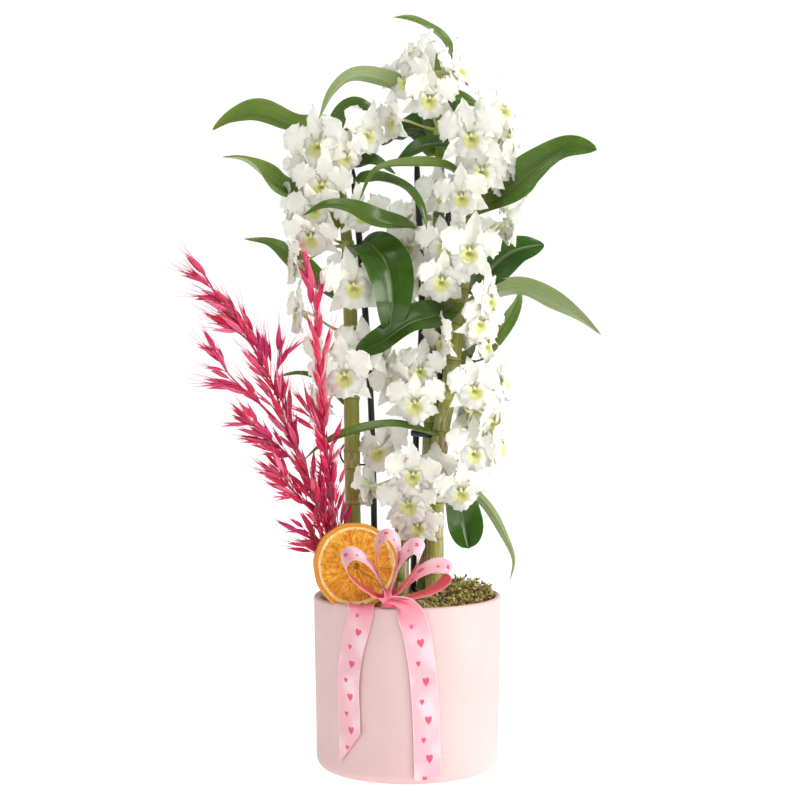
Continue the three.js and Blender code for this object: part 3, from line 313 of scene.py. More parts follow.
class OrchidColours(PropertyGroup):
    pot: colour("Pot", "Matte ceramic", 0.675, 0.465, 0.45)
    petal: colour("Petal", "Petals, sepals and lip", 0.93, 0.92, 0.81)
    throat: colour("Throat", "The stain inside the lip", 0.70, 0.69, 0.19)
    leaf: colour("Leaf", "Upper face of a full-grown leaf", 0.019, 0.058, 0.003)
    leaf_young: colour("Young leaf", "Upper face of a young leaf", 0.155, 0.225, 0.042)
    leaf_under: colour("Leaf underside", "Underside of a full-grown leaf", 0.15, 0.20, 0.07)
    cane: colour("Cane", "Ripe cane", 0.30, 0.31, 0.06)
    sheath: colour("Sheath", "Dry papery sheath round a cane", 0.52, 0.47, 0.27)
    moss: colour("Moss", "Fresh tips of the moss", 0.28, 0.27, 0.06)
    orange: colour("Orange", "Dried flesh", 0.76, 0.33, 0.012)
    oat: colour("Oats", "Dyed spikelets", 0.74, 0.022, 0.125)
    ribbon: colour("Ribbon", "Outer face of the satin ribbon", 0.78, 0.415, 0.475)
    ribbon_inside: colour("Ribbon inside", "Inner face of the ribbon, and its folds", 0.88, 0.15, 0.22)
    stake: colour("Stake", "Plastic-coated stake", 0.006, 0.009, 0.008)


# ---------------------------------------------------------------- curves and surfaces


def unit(vectors):
    """Each vector at a length of 1."""
    return vectors / np.maximum(np.linalg.norm(vectors, axis=-1, keepdims=True), 1e-9)


def smooth(low, high, value):
    """0 below low, 1 above high, and an S-shaped cubic between them."""
    t = np.clip((value - low) / (high - low), 0, 1)
    return t * t * (3 - 2 * t)


def travelled(line, power=1.0):
    """How far along a line each point lies, adding up the steps between points raised to a power."""
    return np.concatenate([[0], np.cumsum(np.linalg.norm(np.diff(line, axis=0), axis=1) ** power)])


def curve_through(points, count):
    """Evenly spaced points on a smooth curve: between two given points it is a blend of the parabolas
    through its neighbours (a centripetal Catmull-Rom curve), laid out again by its length."""
    p = np.asarray(points, float)
    p = np.vstack([2 * p[0] - p[1], p, 2 * p[-1] - p[-2]])
    knot = travelled(p, 0.5)
    t = np.linspace(knot[1], knot[-2], 40 * len(points))
    k = np.clip(np.searchsorted(knot, t, side="right") - 1, 1, len(knot) - 3)

    def between(a, b, i, j):
        """The straight mix of two points by where t lies between two knots."""
        share = ((t - knot[i]) / (knot[j] - knot[i]))[:, None]
        return a * (1 - share) + b * share

    a = [between(p[k + i], p[k + i + 1], k + i, k + i + 1) for i in (-1, 0, 1)]
    b = [between(a[i], a[i + 1], k + i - 1, k + i + 1) for i in (0, 1)]
    line = between(b[0], b[1], k, k + 1)
    far = travelled(line)
    even = np.linspace(0, far[-1], count)
    return np.stack([np.interp(even, far, line[:, i]) for i in range(3)], 1)


def run_of(line):
    """How long a line is."""
    return np.linalg.norm(np.diff(line, axis=0), axis=1).sum()


def full_turn(count):
    """Evenly spaced angles once round, in radians."""
    return np.linspace(0, 2 * np.pi, count, endpoint=False)


def level(turn):
    """The level direction at each angle."""
    return np.stack([np.cos(turn), np.sin(turn)], 1)


def at_height(path, z):
    """The point of a path at a height, on the straight line between its neighbours there."""
    p = np.asarray(path, float)
    return np.array([np.interp(z, p[:, 2], p[:, i]) for i in range(3)])


def frame_along(line):
    """Two directions square to each point's direction of travel: (first, second, forward)."""
    forward = unit(np.gradient(line, axis=-2))
    lead = np.where(np.abs(forward[..., 1:2]) > 0.95, [1.0, 0, 0], [0, 1.0, 0])
    first = unit(np.cross(lead, forward))
    return first, np.cross(forward, first), forward


def tube(line, radius, sides):
    """Circles of a radius, which may differ from point to point and around, carried along a line."""
    first, second, _ = frame_along(line)
    turn = full_turn(sides)
    if np.ndim(radius) < line.ndim:
        radius = np.broadcast_to(radius, line.shape[:-1])[..., None]
    ring = radius[..., None] * (np.cos(turn)[:, None] * first[..., None, :]
        + np.sin(turn)[:, None] * second[..., None, :])
    return line[..., None, :] + ring


def thin_shell(middle, thickness):
    """A middle surface pushed half its thickness to the front and to the back along its normal, as one
    ring per row: over the front and home over the back. The two sides share the side edges."""
    normal = unit(np.cross(np.gradient(middle, axis=-2), np.gradient(middle, axis=-3)))
    half = np.broadcast_to(thickness, middle.shape[:-1])[..., None] / 2
    back = (middle - normal * half)[..., ::-1, :]
    return np.concatenate([middle + normal * half, back[..., 1:-1, :]], axis=-2)


def both_ways(columns):
    """Across values of a thin shell's ring: 0 to 1 over the front, then 1 to 0 over the back."""
    over = np.linspace(0, 1, columns)
    return np.concatenate([over, over[::-1][1:]])


def both_faces(columns):
    """Materials of a thin shell's columns: the first on the front and the second on the back."""
    return np.repeat([0, 1], columns - 1)


class Skin:
    """Gathers grids of points as closed surfaces and makes one mesh of them. Rows of a grid follow its
    length, columns go round it, and a stack of equal grids is added in one call."""

    def __init__(self):
        self.points, self.corners, self.sizes, self.places, self.slots, self.marks = [], [], [], [], [], []
        self.count = 0

    def grid(self, points, slot=0, across=None, along=None, mark=0.0, hoop=False, askew=None):
        """slot is the material of the grid or of each column, and across and along are the UV of its
        columns and rows. hoop joins the last row to the first; otherwise both ends get a fan to their
        middle. mark is a value kept at each point, and askew is added to along where the rows don't lie
        square."""
        points = np.asarray(points, float)
        points = points.reshape((-1,) + points.shape[-3:])
        n, rows, cols = points.shape[:3]
        across = np.linspace(0, 1, cols + 1) if across is None else across
        along = np.linspace(0, 1, rows + hoop) if along is None else np.asarray(along)
        along = np.broadcast_to(along, (n, along.shape[-1]))
        r, c = (x.ravel() for x in np.meshgrid(
            np.arange(rows if hoop else rows - 1), np.arange(cols), indexing="ij"))
        r1, c1 = (r + 1) % rows, (c + 1) % cols
        quad = np.stack([r * cols + c, r * cols + c1, r1 * cols + c1, r1 * cols + c], 1)
        start = self.count + np.arange(n)[:, None, None] * rows * cols
        askew = np.zeros((rows + 1, cols + 1)) if askew is None else askew
        row, column = np.stack([r, r, r + 1, r + 1], 1), np.stack([c, c + 1, c + 1, c], 1)
        place = np.stack([np.broadcast_to(across[column], (n,) + quad.shape),
            along[:, row] + askew[row, column]], -1)
        self._keep(quad[None] + start, place, slot, c, n)
        mark = np.asarray(mark)[:, None, None] if np.ndim(mark) == 1 else mark
        values = np.broadcast_to(mark, (n, rows, cols))
        self.points.append(points.reshape(-1, 3))
        self.marks.append(values.ravel())
        self.count += n * rows * cols
        if hoop:
            return
        for row, order in ((0, (1, 0)), (rows - 1, (0, 1))):
            middle = points[:, row].mean(1)
            c = np.arange(cols)
            ring = np.stack([c, (c + 1) % cols], 1)[:, order] + row * cols
            fan = np.concatenate([np.broadcast_to(ring, (n,) + ring.shape) + start,
                np.broadcast_to((self.count + np.arange(n))[:, None, None], (n, cols, 1))], -1)
            spot = np.stack([np.broadcast_to(across[np.stack([c + order[0], c + order[1], c], 1)], fan.shape),
                np.broadcast_to(along[:, row, None, None], fan.shape)], -1)
            self._keep(fan, spot, slot, c, n)
            self.points.append(middle)
            self.marks.append(values[:, row].mean(1))
            self.count += n

    def _keep(self, faces, places, slot, columns, n):
        """Keeps the corners of faces, their UV and their materials, which go by column."""
        self.corners.append(faces.ravel())
        self.sizes.append(np.full(faces.size // faces.shape[-1], faces.shape[-1]))
        self.places.append(places.reshape(-1, 2))
        by_column = np.asarray(slot)[columns] if np.ndim(slot) else np.full(len(columns), slot)
        self.slots.append(np.tile(by_column, n))

    def make(self, name, materials, slot_name, *replaced):
        """The mesh as an object that rides on the body and stands for the CAD nodes that it replaces.
        slot_name is not used."""
        mesh = bpy.data.meshes.new(name)
        corners, sizes = np.concatenate(self.corners), np.concatenate(self.sizes)
        mesh.vertices.add(self.count)
        mesh.vertices.foreach_set("co", (np.concatenate(self.points) * MM).ravel())
        mesh.loops.add(len(corners))
        mesh.loops.foreach_set("vertex_index", corners.astype(np.int32))
        mesh.polygons.add(len(sizes))
        mesh.polygons.foreach_set("loop_start", np.concatenate([[0], np.cumsum(sizes)[:-1]]).astype(np.int32))
        mesh.polygons.foreach_set("material_index", np.concatenate(self.slots).astype(np.int32))
        mesh.update(calc_edges=True)
        mesh.shade_smooth()
        mesh.set_sharp_from_angle(angle=SHARP)
        mesh.uv_layers.new(name="UVMap").uv.foreach_set("vector", np.concatenate(self.places).ravel())
        mesh.attributes.new("mark", "FLOAT", "POINT").data.foreach_set("value", np.concatenate(self.marks))
        for material in materials:
            mesh.materials.append(material)
        mesh.validate()
        piece = bpy.data.objects.new(name, mesh)
        bpy.context.scene.collection.objects.link(piece)
        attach(piece, BODY)
        if replaced:
            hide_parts(*replaced)
        return piece


# ---------------------------------------------------------------- finishes


class Finish:
    """A material in the making: one Principled shader, and short calls for the nodes that feed it."""

    def __init__(self, name, colour, roughness, **fixed):
        self.material = bpy.data.materials.new(name)
        self.material.use_nodes = True
        self.tree = self.material.node_tree
        self.shader = self.tree.nodes["Principled BSDF"]
        self.set("Base Color", (*colour, 1.0))
        self.set("Roughness", roughness)
        for socket, value in fixed.items():
            self.set(socket.replace("_", " "), value)

    def set(self, socket, value):
        """A fixed value goes on the shader's own socket, and a node's output is linked to it."""
        if isinstance(value, bpy.types.NodeSocket):
            self.tree.links.new(value, self.shader.inputs[socket])
        else:
            self.shader.inputs[socket].default_value = value

    def node(self, kind, out=0, inputs=(), **settings):
        """Adds a node with its settings, feeds its inputs and gives one of its outputs."""
        made = self.tree.nodes.new("ShaderNode" + kind)
        for key, value in settings.items():
            setattr(made, key, value)
        for key, value in dict(inputs).items():
            if isinstance(value, bpy.types.NodeSocket):
                self.tree.links.new(value, made.inputs[key])
            else:
                made.inputs[key].default_value = value
        return made.outputs[out]

    def space(self, kind, scale):
        """Coordinates of a kind, drawn together along each axis by a scale."""
        return self.node("Mapping", inputs={"Vector": self.node("TexCoord", kind), "Scale": scale})

    def object_space(self, scale=(1, 1, 1)):
        """The place on the object, in metres."""
        return self.space("Object", scale)

    def uv(self, part):
        """Where a point is on its piece: X is across or round it, and Y along it."""
        return self.node("SeparateXYZ", part, {0: self.node("TexCoord", "UV")})

    def mark(self):
        """The value that each point of the mesh carries."""
        return self.node("Attribute", "Fac", attribute_name="mark")

    def noise(self, vector, scale, detail=3.0, roughness=0.55):
        """Clouds from 0 to 1, finer with a higher scale."""
        return self.node("TexNoise", "Fac", {
            "Vector": vector, "Scale": scale, "Detail": detail, "Roughness": roughness})

    def grain(self, across, along, detail=3.0, roughness=0.55):
        """Clouds drawn out on the surface: so many across it and so many for a unit along it."""
        return self.noise(self.space("UV", (across, along, 1)), 1.0, detail, roughness)

    def math(self, operation, first, second=0.0, third=0.0):
        """One step of reckoning with up to three values."""
        return self.node("Math", 0, {0: first, 1: second, 2: third}, operation=operation)

    def away(self, value, middle):
        """How far a value is from a middle one, either way."""
        return self.math("ABSOLUTE", self.math("SUBTRACT", value, middle))

    def span(self, value, low, high, start=0.0, end=1.0):
        """start where the value is low, end where it is high, and an S-shaped cubic between them."""
        return self.node("MapRange", 0, {"Value": value, "From Min": low, "From Max": high,
            "To Min": start, "To Max": end}, interpolation_type="SMOOTHSTEP")

    def mix(self, share, first, second):
        """The first colour where share is 0 and the second where it is 1."""
        first, second = ((*c, 1.0) if isinstance(c, tuple) and len(c) == 3 else c for c in (first, second))
        return self.node("Mix", 2, {0: share, 6: first, 7: second}, data_type="RGBA")

    def bump(self, height, distance):
        """Relief from a height of 0 to 1, so many millimetres deep."""
        self.set("Normal", self.node("Bump", 0, {
            "Height": height, "Distance": distance * MM, "Strength": 1.0}))


def shade_of(f, colour, factor):
    """A node's colour made darker by a factor."""
    return f.mix(1 - factor, colour, (0.0, 0.0, 0.0))


def shade(colour, factor=1.0):
    """A colour as it is, or made darker or lighter by a factor or by one for each channel."""
    return tuple(float(min(1.0, c * f)) for c, f in zip(colour, np.broadcast_to(factor, 3)))


def pot_finish(colours):
    """Unglazed ceramic: faint clouds in the tint, pin-sized dark specks and a fine tooth."""
    f = Finish("pot_ceramic", colours.pot, 0.58, Specular_IOR_Level=1.0)
    space = f.object_space()
    clouds = f.noise(space, 22, 4)
    specks = f.span(f.noise(space, 620, 1), 0.74, 0.78, 0.0, 0.35)
    tint = f.mix(f.span(clouds, 0.3, 0.7), shade(colours.pot, (0.97, 0.95, 0.95)), shade(colours.pot, 1.03))
    f.set("Base Color", f.mix(specks, tint, shade(colours.pot, 0.55)))
    f.bump(f.math("MULTIPLY_ADD", f.noise(space, 900, 2), 0.35, f.noise(space, 60, 3)), 0.35)
    return f.material


def mix_finish():
    """Potting bark: brown and near-black crumbs with a deep relief."""
    f = Finish("potting_mix", (0.035, 0.021, 0.012), 0.95)
    space = f.object_space()
    f.set("Base Color", f.mix(f.noise(space, 160, 4), (0.012, 0.008, 0.005), (0.11, 0.06, 0.03)))
    f.bump(f.noise(space, 260, 4), 2.0)
    return f.material


def moss_finish(colours):
    """Each strand has its own tone, from brown and straw to fresh olive green, and pales towards its tip."""
    f = Finish("moss", colours.moss, 0.85, Specular_IOR_Level=0.2)
    along = f.uv("Y")
    tone = f.mark()
    old = f.mix(f.span(tone, 0.0, 0.35), (0.09, 0.045, 0.02), (0.50, 0.30, 0.12))
    fresh = f.mix(f.span(tone, 0.4, 1.0), shade(colours.moss, 0.6), shade(colours.moss, (1.7, 1.6, 1.5)))
    body = f.mix(f.span(tone, 0.30, 0.45), old, fresh)
    pale = f.mix(0.35, body, (0.75, 0.66, 0.30))
    f.set("Base Color", f.mix(f.span(along, 0.1, 1.0), shade_of(f, body, 0.6), pale))
    return f.material


def cane_finish(colours):
    """Along it, one unit of UV is one internode: a fine line at each node with a pale band over it, and
    long streaks from green to yellow. mark is the cane's own share of green."""
    f = Finish("cane", colours.cane, 0.38, Specular_IOR_Level=0.45)
    along = f.uv("Y")
    step = f.math("FRACT", along)
    streaks = f.grain(26, 0.5, 4, 0.65)
    blotch = f.grain(4, 1.6, 3)
    green, ripe = shade(colours.cane, (0.42, 0.66, 0.5)), shade(colours.cane, (1.3, 1.15, 1.3))
    body = f.mix(f.span(f.math("ADD", streaks, f.math("MULTIPLY", f.mark(), -0.35)), 0.12, 0.66), green, ripe)
    body = f.mix(f.span(blotch, 0.6, 0.75, 0.0, 0.4), body, (0.15, 0.10, 0.035))
    body = f.mix(f.span(step, 0.14, 0.05, 0.0, 0.6), body, (0.46, 0.46, 0.20))
    line = f.span(f.math("PINGPONG", along, 0.5), 0.024, 0.008, 0.0, 0.7)
    f.set("Base Color", f.mix(line, body, (0.10, 0.07, 0.02)))
    f.bump(streaks, 0.4)
    return f.material


def sheath_finish(colours):
    """Dry bract paper: long pale and brown fibres over the green of the cane that shows through it."""
    f = Finish("sheath", colours.sheath, 0.6, Specular_IOR_Level=0.3)
    fibres = f.grain(42, 0.9, 5, 0.7)
    patches = f.grain(3, 2.5, 2)
    pale = f.mix(f.span(fibres, 0.38, 0.62), shade(colours.sheath, (0.42, 0.34, 0.26)),
        shade(colours.sheath, 1.35))
    green = f.mix(f.span(fibres, 0.35, 0.65), shade(colours.cane, 0.7),
        shade(colours.sheath, (0.9, 1.05, 0.7)))
    f.set("Base Color", f.mix(f.span(f.math("ADD", patches, f.mark()), 0.55, 0.95), green, pale))
    f.bump(fibres, 0.6)
    return f.material


def leaf_finish(name, tint, young, roughness, gloss, wax, glow, contrast, rib):
    """Parallel veins follow the blade and fade out to its tip, the midrib is a lighter line, and the base is
    more yellow. The mark and soft clouds take the blade from its full colour towards the young one."""
    f = Finish(name, tint, roughness, Specular_IOR_Level=gloss, Coat_Weight=wax, Coat_Roughness=0.12,
        Subsurface_Weight=glow, Subsurface_Scale=0.002, Subsurface_Radius=(0.5, 1.0, 0.25))
    across, along = f.uv("X"), f.uv("Y")
    veins = f.grain(60, 0.8, 3, 0.6)
    veins = f.math("MULTIPLY_ADD", f.math("SUBTRACT", veins, 0.5), f.span(along, 0.6, 0.92, 1.0, 0.0), 0.5)
    clouds = f.noise(f.object_space(), 38, 3)
    tone = f.math("ADD", f.mark(), f.span(clouds, 0.40, 0.75, 0.0, 0.16))
    dark, light = (f.mix(tone, shade(tint, k), shade(young, k)) for k in (1 - contrast, 1 + contrast))
    body = f.mix(f.span(veins, 0.35, 0.65), dark, light)
    body = f.mix(f.span(along, 0.16, 0.0), body, (0.20, 0.26, 0.05))
    midrib = f.span(f.away(across, 0.5), 0.035, 0.008, 0.0, rib)
    f.set("Base Color", f.mix(midrib, body, shade(young, 1.15)))
    f.bump(veins, 0.22)
    return f.material


def petal_finish(name, colours, stain=0.0):
    """White flesh with faint veins along each blade, a green tint towards its base that is partly its own and
    partly painted shade where the blades meet, and on the lip a yellow green stain that fades out of the
    throat."""
    f = Finish(name, colours.petal, 0.5, Specular_IOR_Level=0.25, Sheen_Weight=0.1, Sheen_Roughness=0.5,
        Subsurface_Weight=0.7, Subsurface_Scale=0.004, Subsurface_Radius=(1.0, 1.0, 1.0))
    along = f.uv("Y")
    veins = f.grain(30, 0.9, 3, 0.6)
    body = f.mix(f.span(veins, 0.3, 0.7), shade(colours.petal, (0.96, 0.955, 0.91)), shade(colours.petal))
    body = f.mix(f.math("MULTIPLY", f.mark(), 0.5), body, shade(colours.petal, (0.97, 0.95, 0.90)))
    if stain:
        edge = f.math("MULTIPLY_ADD", veins, 0.10, -0.05)
        spread = f.span(f.math("ADD", along, edge), 1.18 * stain, 0.80 * stain, 0.0, 0.92)
        body = f.mix(f.span(along, 1.5 * stain, 0.9 * stain, 0.0, 0.35), body, (0.86, 0.87, 0.62))
        body = f.mix(spread, body, shade(colours.throat))
        body = f.mix(f.span(along, 0.25, 0.08, 0.0, 0.6), body, shade(colours.throat, (0.72, 0.8, 0.45)))
    else:
        # Greener and darker towards the base: partly the blade's own tint, partly painted shade where the
        # blades meet.
        body = f.mix(f.span(along, 0.34, 0.05, 0.0, 0.6), body, (0.78, 0.80, 0.52))
    f.set("Base Color", body)
    f.bump(veins, 0.2)
    return f.material


def column_finish():
    """Cream, green at its foot, with a brown-purple flush under the cap."""
    f = Finish("column", (0.82, 0.79, 0.60), 0.4, Subsurface_Weight=0.3, Subsurface_Scale=0.002)
    along = f.uv("Y")
    flush = f.math("MULTIPLY", f.span(f.away(along, 0.62), 0.24, 0.05),
        f.span(f.noise(f.object_space(), 700, 2), 0.38, 0.55, 0.0, 0.4))
    body = f.mix(f.span(along, 0.5, 0.1), (0.80, 0.76, 0.52), (0.58, 0.60, 0.16))
    f.set("Base Color", f.mix(flush, body, (0.42, 0.24, 0.13)))
    return f.material


def stalk_finish():
    """Yellow green at the node, paling to the white of the bloom."""
    f = Finish("stalk", (0.5, 0.5, 0.2), 0.45, Subsurface_Weight=0.2, Subsurface_Scale=0.002)
    along = f.uv("Y")
    streaks = f.grain(8, 1.2, 2)
    green = f.mix(streaks, (0.34, 0.36, 0.07), (0.56, 0.57, 0.20))
    f.set("Base Color", f.mix(f.span(along, 0.45, 1.0), green, (0.76, 0.78, 0.52)))
    return f.material


def stake_finish(colours):
    """Dark plastic with long lengthwise scuffs, paler and duller than the rest."""
    f = Finish("stake", colours.stake, 0.32, Specular_IOR_Level=0.6)
    scuffs = f.noise(f.object_space((1, 1, 0.12)), 900, 3)
    f.set("Base Color", f.mix(f.span(scuffs, 0.5, 0.8), shade(colours.stake), (0.045, 0.05, 0.048)))
    f.set("Roughness", f.span(scuffs, 0.3, 0.8, 0.26, 0.5))
    f.bump(scuffs, 0.15)
    return f.material


def clip_finish():
    """Dark teal plastic with a fine grain."""
    f = Finish("clip", (0.004, 0.028, 0.030), 0.35, Specular_IOR_Level=0.6)
    grain = f.noise(f.object_space(), 700, 2)
    f.set("Base Color", f.mix(grain, (0.003, 0.018, 0.020), (0.008, 0.05, 0.052)))
    f.bump(grain, 0.12)
    return f.material


def orange_finish(colours):
    """Dried flesh of sacs and rays between pale membranes, with pith, a hub painted dark as the shade of the
    hole in its middle, and a rind. mark is 1 on the sunken flesh and 0 elsewhere; the UV runs from the hub to
    the rind and over to the other face."""
    f = Finish("orange", colours.orange, 0.42, Specular_IOR_Level=0.25, Subsurface_Weight=0.3,
        Subsurface_Scale=0.004, Subsurface_Radius=(1.0, 0.5, 0.08))
    along = f.uv("Y")
    rim = f.math("PINGPONG", along, 0.5)
    space = f.object_space()
    rays = f.grain(30, 5, 4, 0.7)
    sacs = f.noise(space, 330, 4, 0.7)
    stains = f.noise(space, 55, 3)
    pulp = f.math("MULTIPLY_ADD", rays, 0.5, f.math("MULTIPLY", sacs, 0.5))
    flesh = f.mix(f.span(pulp, 0.40, 0.62), shade(colours.orange, (0.80, 0.58, 0.5)),
        shade(colours.orange, (1.22, 1.6, 5.0)))
    flesh = f.mix(f.span(stains, 0.50, 0.70, 0.0, 0.55), flesh, shade(colours.orange, (0.75, 0.50, 0.4)))
    membrane = f.mix(stains, (0.76, 0.37, 0.045), (0.72, 0.33, 0.03))
    face = f.mix(f.mark(), membrane, flesh)
    pith = f.mix(f.span(sacs, 0.4, 0.65), (0.87, 0.70, 0.36), (0.82, 0.50, 0.12))
    low = f.span(f.grain(2.2, 0, 1), 0.40, 0.52, 0.0, -0.022)
    ragged = f.math("MULTIPLY_ADD", rays, 0.03, low)
    face = f.mix(f.span(f.math("ADD", rim, ragged), 0.376, 0.388), face, pith)
    # The hub is painted near black: painted shade of the hole at the slice's middle.
    hub = f.mix(f.span(sacs, 0.35, 0.6), (0.10, 0.035, 0.008), (0.45, 0.20, 0.04))
    face = f.mix(f.span(rim, 0.030, 0.012), face, hub)
    rind = f.mix(f.noise(space, 700, 3), (0.55, 0.20, 0.012), (0.76, 0.36, 0.035))
    f.set("Base Color", f.mix(f.span(rim, 0.412, 0.424), face, rind))
    f.bump(f.math("MULTIPLY_ADD", f.noise(space, 900, 2), 0.5, pulp), 1.1)
    return f.material


def oat_finish(colours):
    """Dyed chaff: the dye drifts from red to magenta, every spikelet has its own tone from deep to pink, with
    fine stripes and dry tips."""
    f = Finish("oat", colours.oat, 0.6, Subsurface_Weight=0.25, Subsurface_Scale=0.0015,
        Subsurface_Radius=(1.0, 0.2, 0.4), Specular_IOR_Level=0.3)
    along = f.uv("Y")
    stripes = f.grain(14, 0.8, 3, 0.6)
    tone = f.mark()
    dye = f.mix(f.span(f.noise(f.object_space(), 34, 2), 0.42, 0.68), shade(colours.oat, (1.05, 1.7, 0.75)),
        shade(colours.oat, (0.92, 1.1, 1.6)))
    deep = f.mix(f.span(stripes, 0.35, 0.6), shade(colours.oat, (0.5, 0.4, 0.4)), dye)
    pink = f.mix(f.span(stripes, 0.3, 0.7), shade(colours.oat, (1.05, 4.0, 1.5)), (0.86, 0.26, 0.43))
    body = f.mix(f.span(tone, 0.35, 0.95), deep, pink)
    f.set("Base Color", f.mix(f.span(along, 0.72, 1.0, 0.0, 0.5), body, (0.88, 0.50, 0.52)))
    f.bump(stripes, 0.3)
    return f.material


def ribbon_finish(colours, outside):
    """Satin: a fine weave across the strip and lighter woven edges, with long paler patches along it that are
    a painted satin sheen. The outer face is pale and carries small scattered hearts, and the inner face is a
    deeper coral. mark is how far the ribbon is gathered; its pink deepens there as painted shade of the
    folds."""
    tint = shade(colours.ribbon if outside else colours.ribbon_inside)
    f = Finish("ribbon_outside" if outside else "ribbon_inside", tint, 0.34 if outside else 0.42,
        Specular_IOR_Level=0.55, Sheen_Weight=0.25, Sheen_Roughness=0.3, Anisotropic=0.6,
        Subsurface_Weight=0.15, Subsurface_Scale=0.001, Subsurface_Radius=(1.0, 0.4, 0.5))
    across, along = f.uv("X"), f.uv("Y")
    weave = f.grain(1.5, 900, 2)
    painted_sheen = f.grain(0.8, 4.5, 1, 0.5)
    body = f.mix(f.span(weave, 0.35, 0.65), shade(tint, 0.95), shade(tint, 1.05))
    # Long paler patches along the strip: a painted satin sheen.
    body = f.mix(f.span(painted_sheen, 0.40, 0.62, 0.0, 0.85), body, shade(tint, (1.1, 1.5, 1.4)))
    # Painted shade: where the mark says the ribbon is gathered, its colour deepens towards the inner coral.
    body = f.mix(f.math("MULTIPLY", f.mark(), 0.7), body, shade(colours.ribbon_inside))
    body = f.mix(f.span(f.away(across, 0.5), 0.455, 0.49, 0.0, 0.8), body, (0.90, 0.60, 0.65))
    if outside:
        big, small = (heart_mask(f, f.math("ADD", across, aside),
            f.math("FRACT", f.math("MULTIPLY_ADD", along, 5.0, onward)), shrink)
            for aside, onward, shrink in ((0.08, 0.0, 5.6), (-0.12, 0.5, 8.5)))
        hearts = f.math("MULTIPLY", f.math("MAXIMUM", big, small), f.span(f.mark(), 0.85, 0.6, 0.0, 0.9))
        body = f.mix(hearts, body, (0.70, 0.025, 0.11))
    f.set("Base Color", body)
    f.bump(weave, 0.06)
    return f.material


def heart_mask(f, across, along, shrink):
    """A heart in each unit square: with x across and y along it from its middle, the point is inside
    where x squared plus (y - 0.75 times the root of |x|) squared is below a half."""
    x = f.math("MULTIPLY", f.math("SUBTRACT", across, 0.5), shrink)
    y = f.math("MULTIPLY", f.math("SUBTRACT", 0.5, along), 1.25 * shrink)
    lobe = f.math("SUBTRACT", y, f.math("MULTIPLY", f.math("SQRT", f.math("ABSOLUTE", x)), 0.75))
    inside = f.math("ADD", f.math("MULTIPLY", x, x), f.math("MULTIPLY", lobe, lobe))
    return f.span(inside, 0.56, 0.44)


# ---------------------------------------------------------------- pot, mix and moss


def pot_surface(wall):
    """A profile of radius and height turned about the vertical axis: out under the foot, round its
    corner, up the wall with a slight flare, over the rim and down the inside."""
    height, low, top = POT
    foot, floor, lip = 8.5, 8.0, wall / 2
    quarter = np.linspace(0, np.pi / 2, 9)
    corner = np.stack([low - foot + foot * np.sin(quarter), foot - foot * np.cos(quarter)], 1)
    half_turn = np.linspace(0, np.pi, 13)
    rim = np.stack([top - lip + lip * np.cos(half_turn), height - lip + lip * np.sin(half_turn)], 1)
    up = np.stack([np.linspace(low, top, 14)[1:-1], np.linspace(foot, height - lip, 14)[1:-1]], 1)
    bore = np.stack([np.linspace(top, low, 8)[1:] - wall, np.linspace(height - lip, floor + foot, 8)[1:]], 1)
    profile = np.vstack([[(2.0, 0.0), (low - foot - 6, 0.0)], corner, up, rim, bore,
        [(low - wall - foot, floor), (2.0, floor)]])
    turn = full_turn(144)
    out = np.stack([np.cos(turn), np.sin(turn), np.zeros_like(turn)], 1)
    return profile[:, :1, None] * out + profile[:, 1:, None] * np.array([0, 0, 1.0])


# Height of the bed's edge and its underside, radius of the bed, of the spots that strands grow from and of
# the pot's bore, and how many strands there are.
MOSS_EDGE, MOSS_UNDER = 119.0, 118.4
BED_RADIUS, SPOT_RADIUS, BORE_RADIUS = 63.2, 61, 64.6
STRANDS = 2400
# Where the long wisps at the back of the heap grow.
WISPS = [(47, 8), (52, 14), (40, 16), (56, 4), (30, 22), (44, 20), (60, -4)]


def moss_height(x, y):
    """The bed rises from the rim and heaps up at the right; broad and small waves roughen it."""
    heap = ((x - 38) ** 2 + (y - 8) ** 2) / 34 ** 2
    waves = np.sin(0.23 * x + 1) * np.cos(0.19 * y) + 0.6 * np.sin(0.51 * x - 0.37 * y)
    mound = ((x + 20) ** 2 + y ** 2) / 900
    return 121.5 + 1.3 * waves + 14 * np.exp(-1.5 * heap) + 3.5 * np.exp(-mound)


